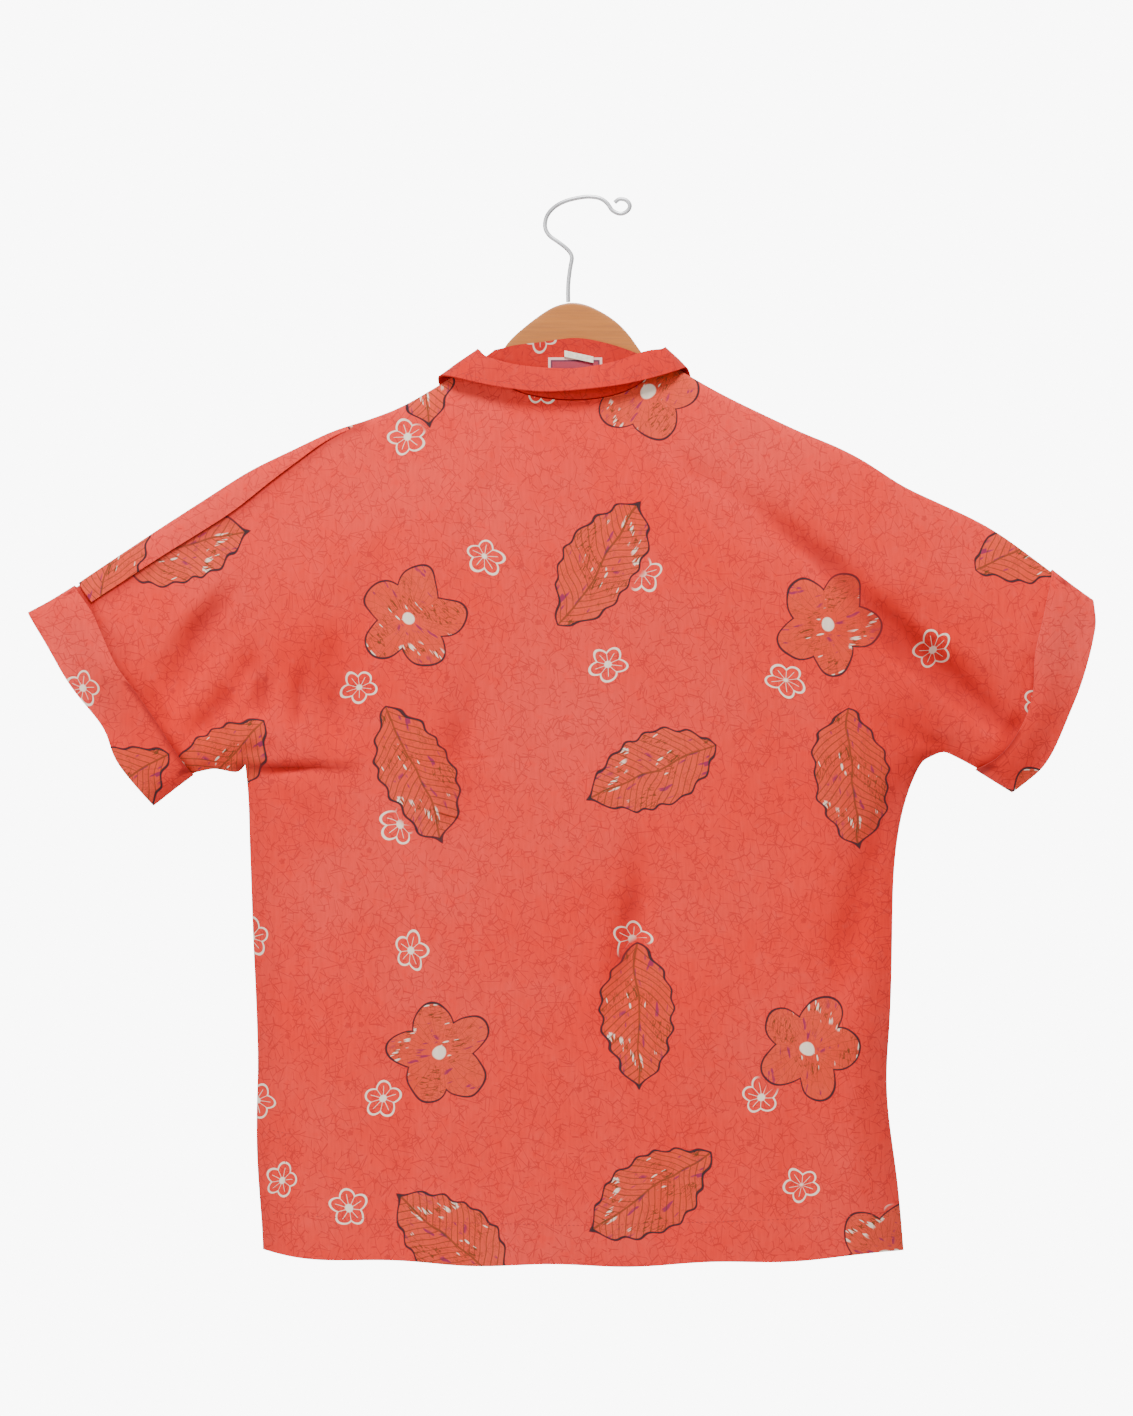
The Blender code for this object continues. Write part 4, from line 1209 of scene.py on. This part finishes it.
class SHIRT_OT_label(bpy.types.Operator):
    """Dresses the bare neck label and the cream loop"""
    bl_idname = "shirt.label"
    bl_label = "Neck label and loop"

    def execute(self, context):
        colours = context.scene.shirt_colours
        label = joined_copy("woven_label", ["neck_label"])
        finish_piece(label, label_material(), ["neck_label"])
        loop = smooth_copy("cream_loop", ["hanger_loop"], SHARP)
        tape = plain_material("cream_tape", tuple(colours.cream), .8, scale=300,
                              amount=.25)
        finish_piece(loop, tape, ["hanger_loop"])
        return {"FINISHED"}


class SHIRT_OT_buttons(bpy.types.Operator):
    """Models four-holed buttons with a rim and crossed thread"""
    bl_idname = "shirt.buttons"
    bl_label = "Buttons"

    def execute(self, context):
        colours, looks = context.scene.shirt_colours, context.scene.hanger_looks
        shell = plain_material("button_shell", tuple(looks.button), .28, scale=220,
                               amount=.35)
        thread = plain_material("button_thread", tuple(colours.thread), .8, scale=900)
        for node in sorted(BUTTONS):
            low, high = (Vector(corner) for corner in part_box(node))
            disc = button_disc("disc_" + node, low, high)
            finish_piece(disc, shell, [node])
            centre = (low + high) / 2
            lines = []
            for sign in (-1, 1):
                a = centre + Vector((-HOLE_OFFSET, 0, -sign * HOLE_OFFSET))
                b = centre + Vector((HOLE_OFFSET, 0, sign * HOLE_OFFSET))
                a.y = b.y = high.y - BUTTON_DISH
                lines.append((a, b, Vector((0, 1, 0))))
            sewn = stitch_mesh("thread_" + node, lines, THREAD_HALF)
            finish_piece(sewn, thread, [])
        return {"FINISHED"}


class SHIRT_OT_sewing(bpy.types.Operator):
    """Lays rows of stitches along the hem, placket, vents and collar"""
    bl_idname = "shirt.sewing"
    bl_label = "Sewing"

    def execute(self, context):
        cloth, colours = context.scene.shirt_cloth, context.scene.shirt_colours
        thread = plain_material("sewing_thread", tuple(colours.thread), .75, scale=900)
        surfaces = {}
        for number, (panel, facing, points) in enumerate(SEAMS, 1):
            if panel not in surfaces:
                surfaces[panel] = cloth_surface(bpy.data.objects[panel])
            lines = row_of_stitches(points, surfaces[panel], facing, cloth)
            if not lines:
                raise RuntimeError("no stitches on " + panel)
            piece = stitch_mesh("stitches_%02d" % number, lines, THREAD_HALF)
            finish_piece(piece, thread, [])
        return {"FINISHED"}


class SHIRT_OT_hanger(bpy.types.Operator):
    """Finishes the wooden hanger and its wire hook"""
    bl_idname = "shirt.hanger"
    bl_label = "Hanger"

    def execute(self, context):
        looks = context.scene.hanger_looks
        board = smooth_copy("wooden_board", ["hanger_wood"], PANEL_SHARP)
        finish_piece(board, wood_material(looks), ["hanger_wood"])
        wire = smooth_copy("wire_hook", ["hanger_hook"], SHARP, 1)
        steel = plain_material("steel_wire", tuple(looks.steel), .42, .7, scale=60,
                               amount=.10, height=.00001)
        finish_piece(wire, steel, ["hanger_hook"])
        return {"FINISHED"}


class SHIRT_OT_cloth_sizes(bpy.types.Operator):
    """Does nothing; it only returns"""
    bl_idname = "shirt.cloth_sizes"
    bl_label = "Cut sizes"

    def execute(self, context):
        return {"FINISHED"}


class SHIRT_OT_stage(bpy.types.Operator):
    """Adds the pale floor, soft lights and the camera"""
    bl_idname = "shirt.stage"
    bl_label = "Stage"

    def execute(self, context):
        looks = context.scene.stage_looks
        deselect()
        bpy.ops.mesh.primitive_circle_add(
            vertices=96, radius=FLOOR_RADIUS, fill_type="NGON",
            location=(FLOOR_X, 0, looks.floor_height))
        floor = bpy.context.object
        floor.name = "pale_floor"
        finish, _, shader = new_material("pale_floor", .9)
        shader.inputs["Base Color"].default_value = FLOOR_COLOUR
        floor.data.materials.append(finish)
        for name, place, size, power in LIGHTS:
            bpy.ops.object.light_add(type="AREA", location=place)
            lamp = bpy.context.object
            lamp.name = name
            lamp.data.size = size
            lamp.data.energy = power
            aim = Vector(looks.centre) - lamp.location
            lamp.rotation_euler = aim.to_track_quat("-Z", "Y").to_euler()
        sky = bpy.data.worlds.new("white_studio")
        context.scene.world = sky
        sky.use_nodes = True
        g = Graph(sky.node_tree)
        ground = sky.node_tree.nodes["Background"]
        ground.inputs["Color"].default_value = (1, 1, 1, 1)
        seen = g.add("ShaderNodeLightPath").outputs["Is Camera Ray"]
        g.link(g.ramp(seen, 0, 1, SKY_LIGHT, SKY_SEEN), ground.inputs["Strength"])
        centre = Vector(looks.centre)
        bpy.ops.object.camera_add(location=centre - Vector((0, looks.distance, 0)),
                                  rotation=(math.pi / 2, 0, 0))
        camera = bpy.context.object
        camera.data.sensor_width = SENSOR
        camera.data.lens = SENSOR * looks.distance / looks.frame_height
        camera.data.clip_end = CLIP_END
        context.scene.camera = camera
        return {"FINISHED"}


# ---------------------------------------------------------------- sidebar and run

STEPS = (SHIRT_OT_finishes, SHIRT_OT_panels, SHIRT_OT_cuffs, SHIRT_OT_overarm,
         SHIRT_OT_collar, SHIRT_OT_label, SHIRT_OT_buttons, SHIRT_OT_sewing,
         SHIRT_OT_hanger, SHIRT_OT_cloth_sizes, SHIRT_OT_stage)
GROUPS = {"shirt_cloth": ShirtCloth, "shirt_colours": ShirtColours,
          "hanger_looks": HangerLooks, "stage_looks": StageLooks}


class SHIRT_PT_sidebar(bpy.types.Panel):
    """Lists the sizes, the colours and the steps"""
    bl_idname = "SHIRT_PT_sidebar"
    bl_label = "Shirt on hanger"
    bl_space_type = "VIEW_3D"
    bl_region_type = "UI"
    bl_category = "Shirt"

    def draw(self, context):
        for name, group in GROUPS.items():
            box = self.layout.box()
            for label in group.__annotations__:
                box.prop(getattr(context.scene, name), label)
        for step in STEPS:
            self.layout.operator(step.bl_idname)


CLASSES = (*GROUPS.values(), *STEPS, SHIRT_PT_sidebar)


def register():
    for entry in CLASSES:
        bpy.utils.register_class(entry)
    for name, group in GROUPS.items():
        setattr(bpy.types.Scene, name, PointerProperty(type=group))


def unregister():
    for name in GROUPS:
        delattr(bpy.types.Scene, name)
    for entry in reversed(CLASSES):
        bpy.utils.unregister_class(entry)


def main():
    register()
    for step in STEPS:
        area, name = step.bl_idname.split(".")
        getattr(getattr(bpy.ops, area), name)()


if __name__ == "__main__":
    main()
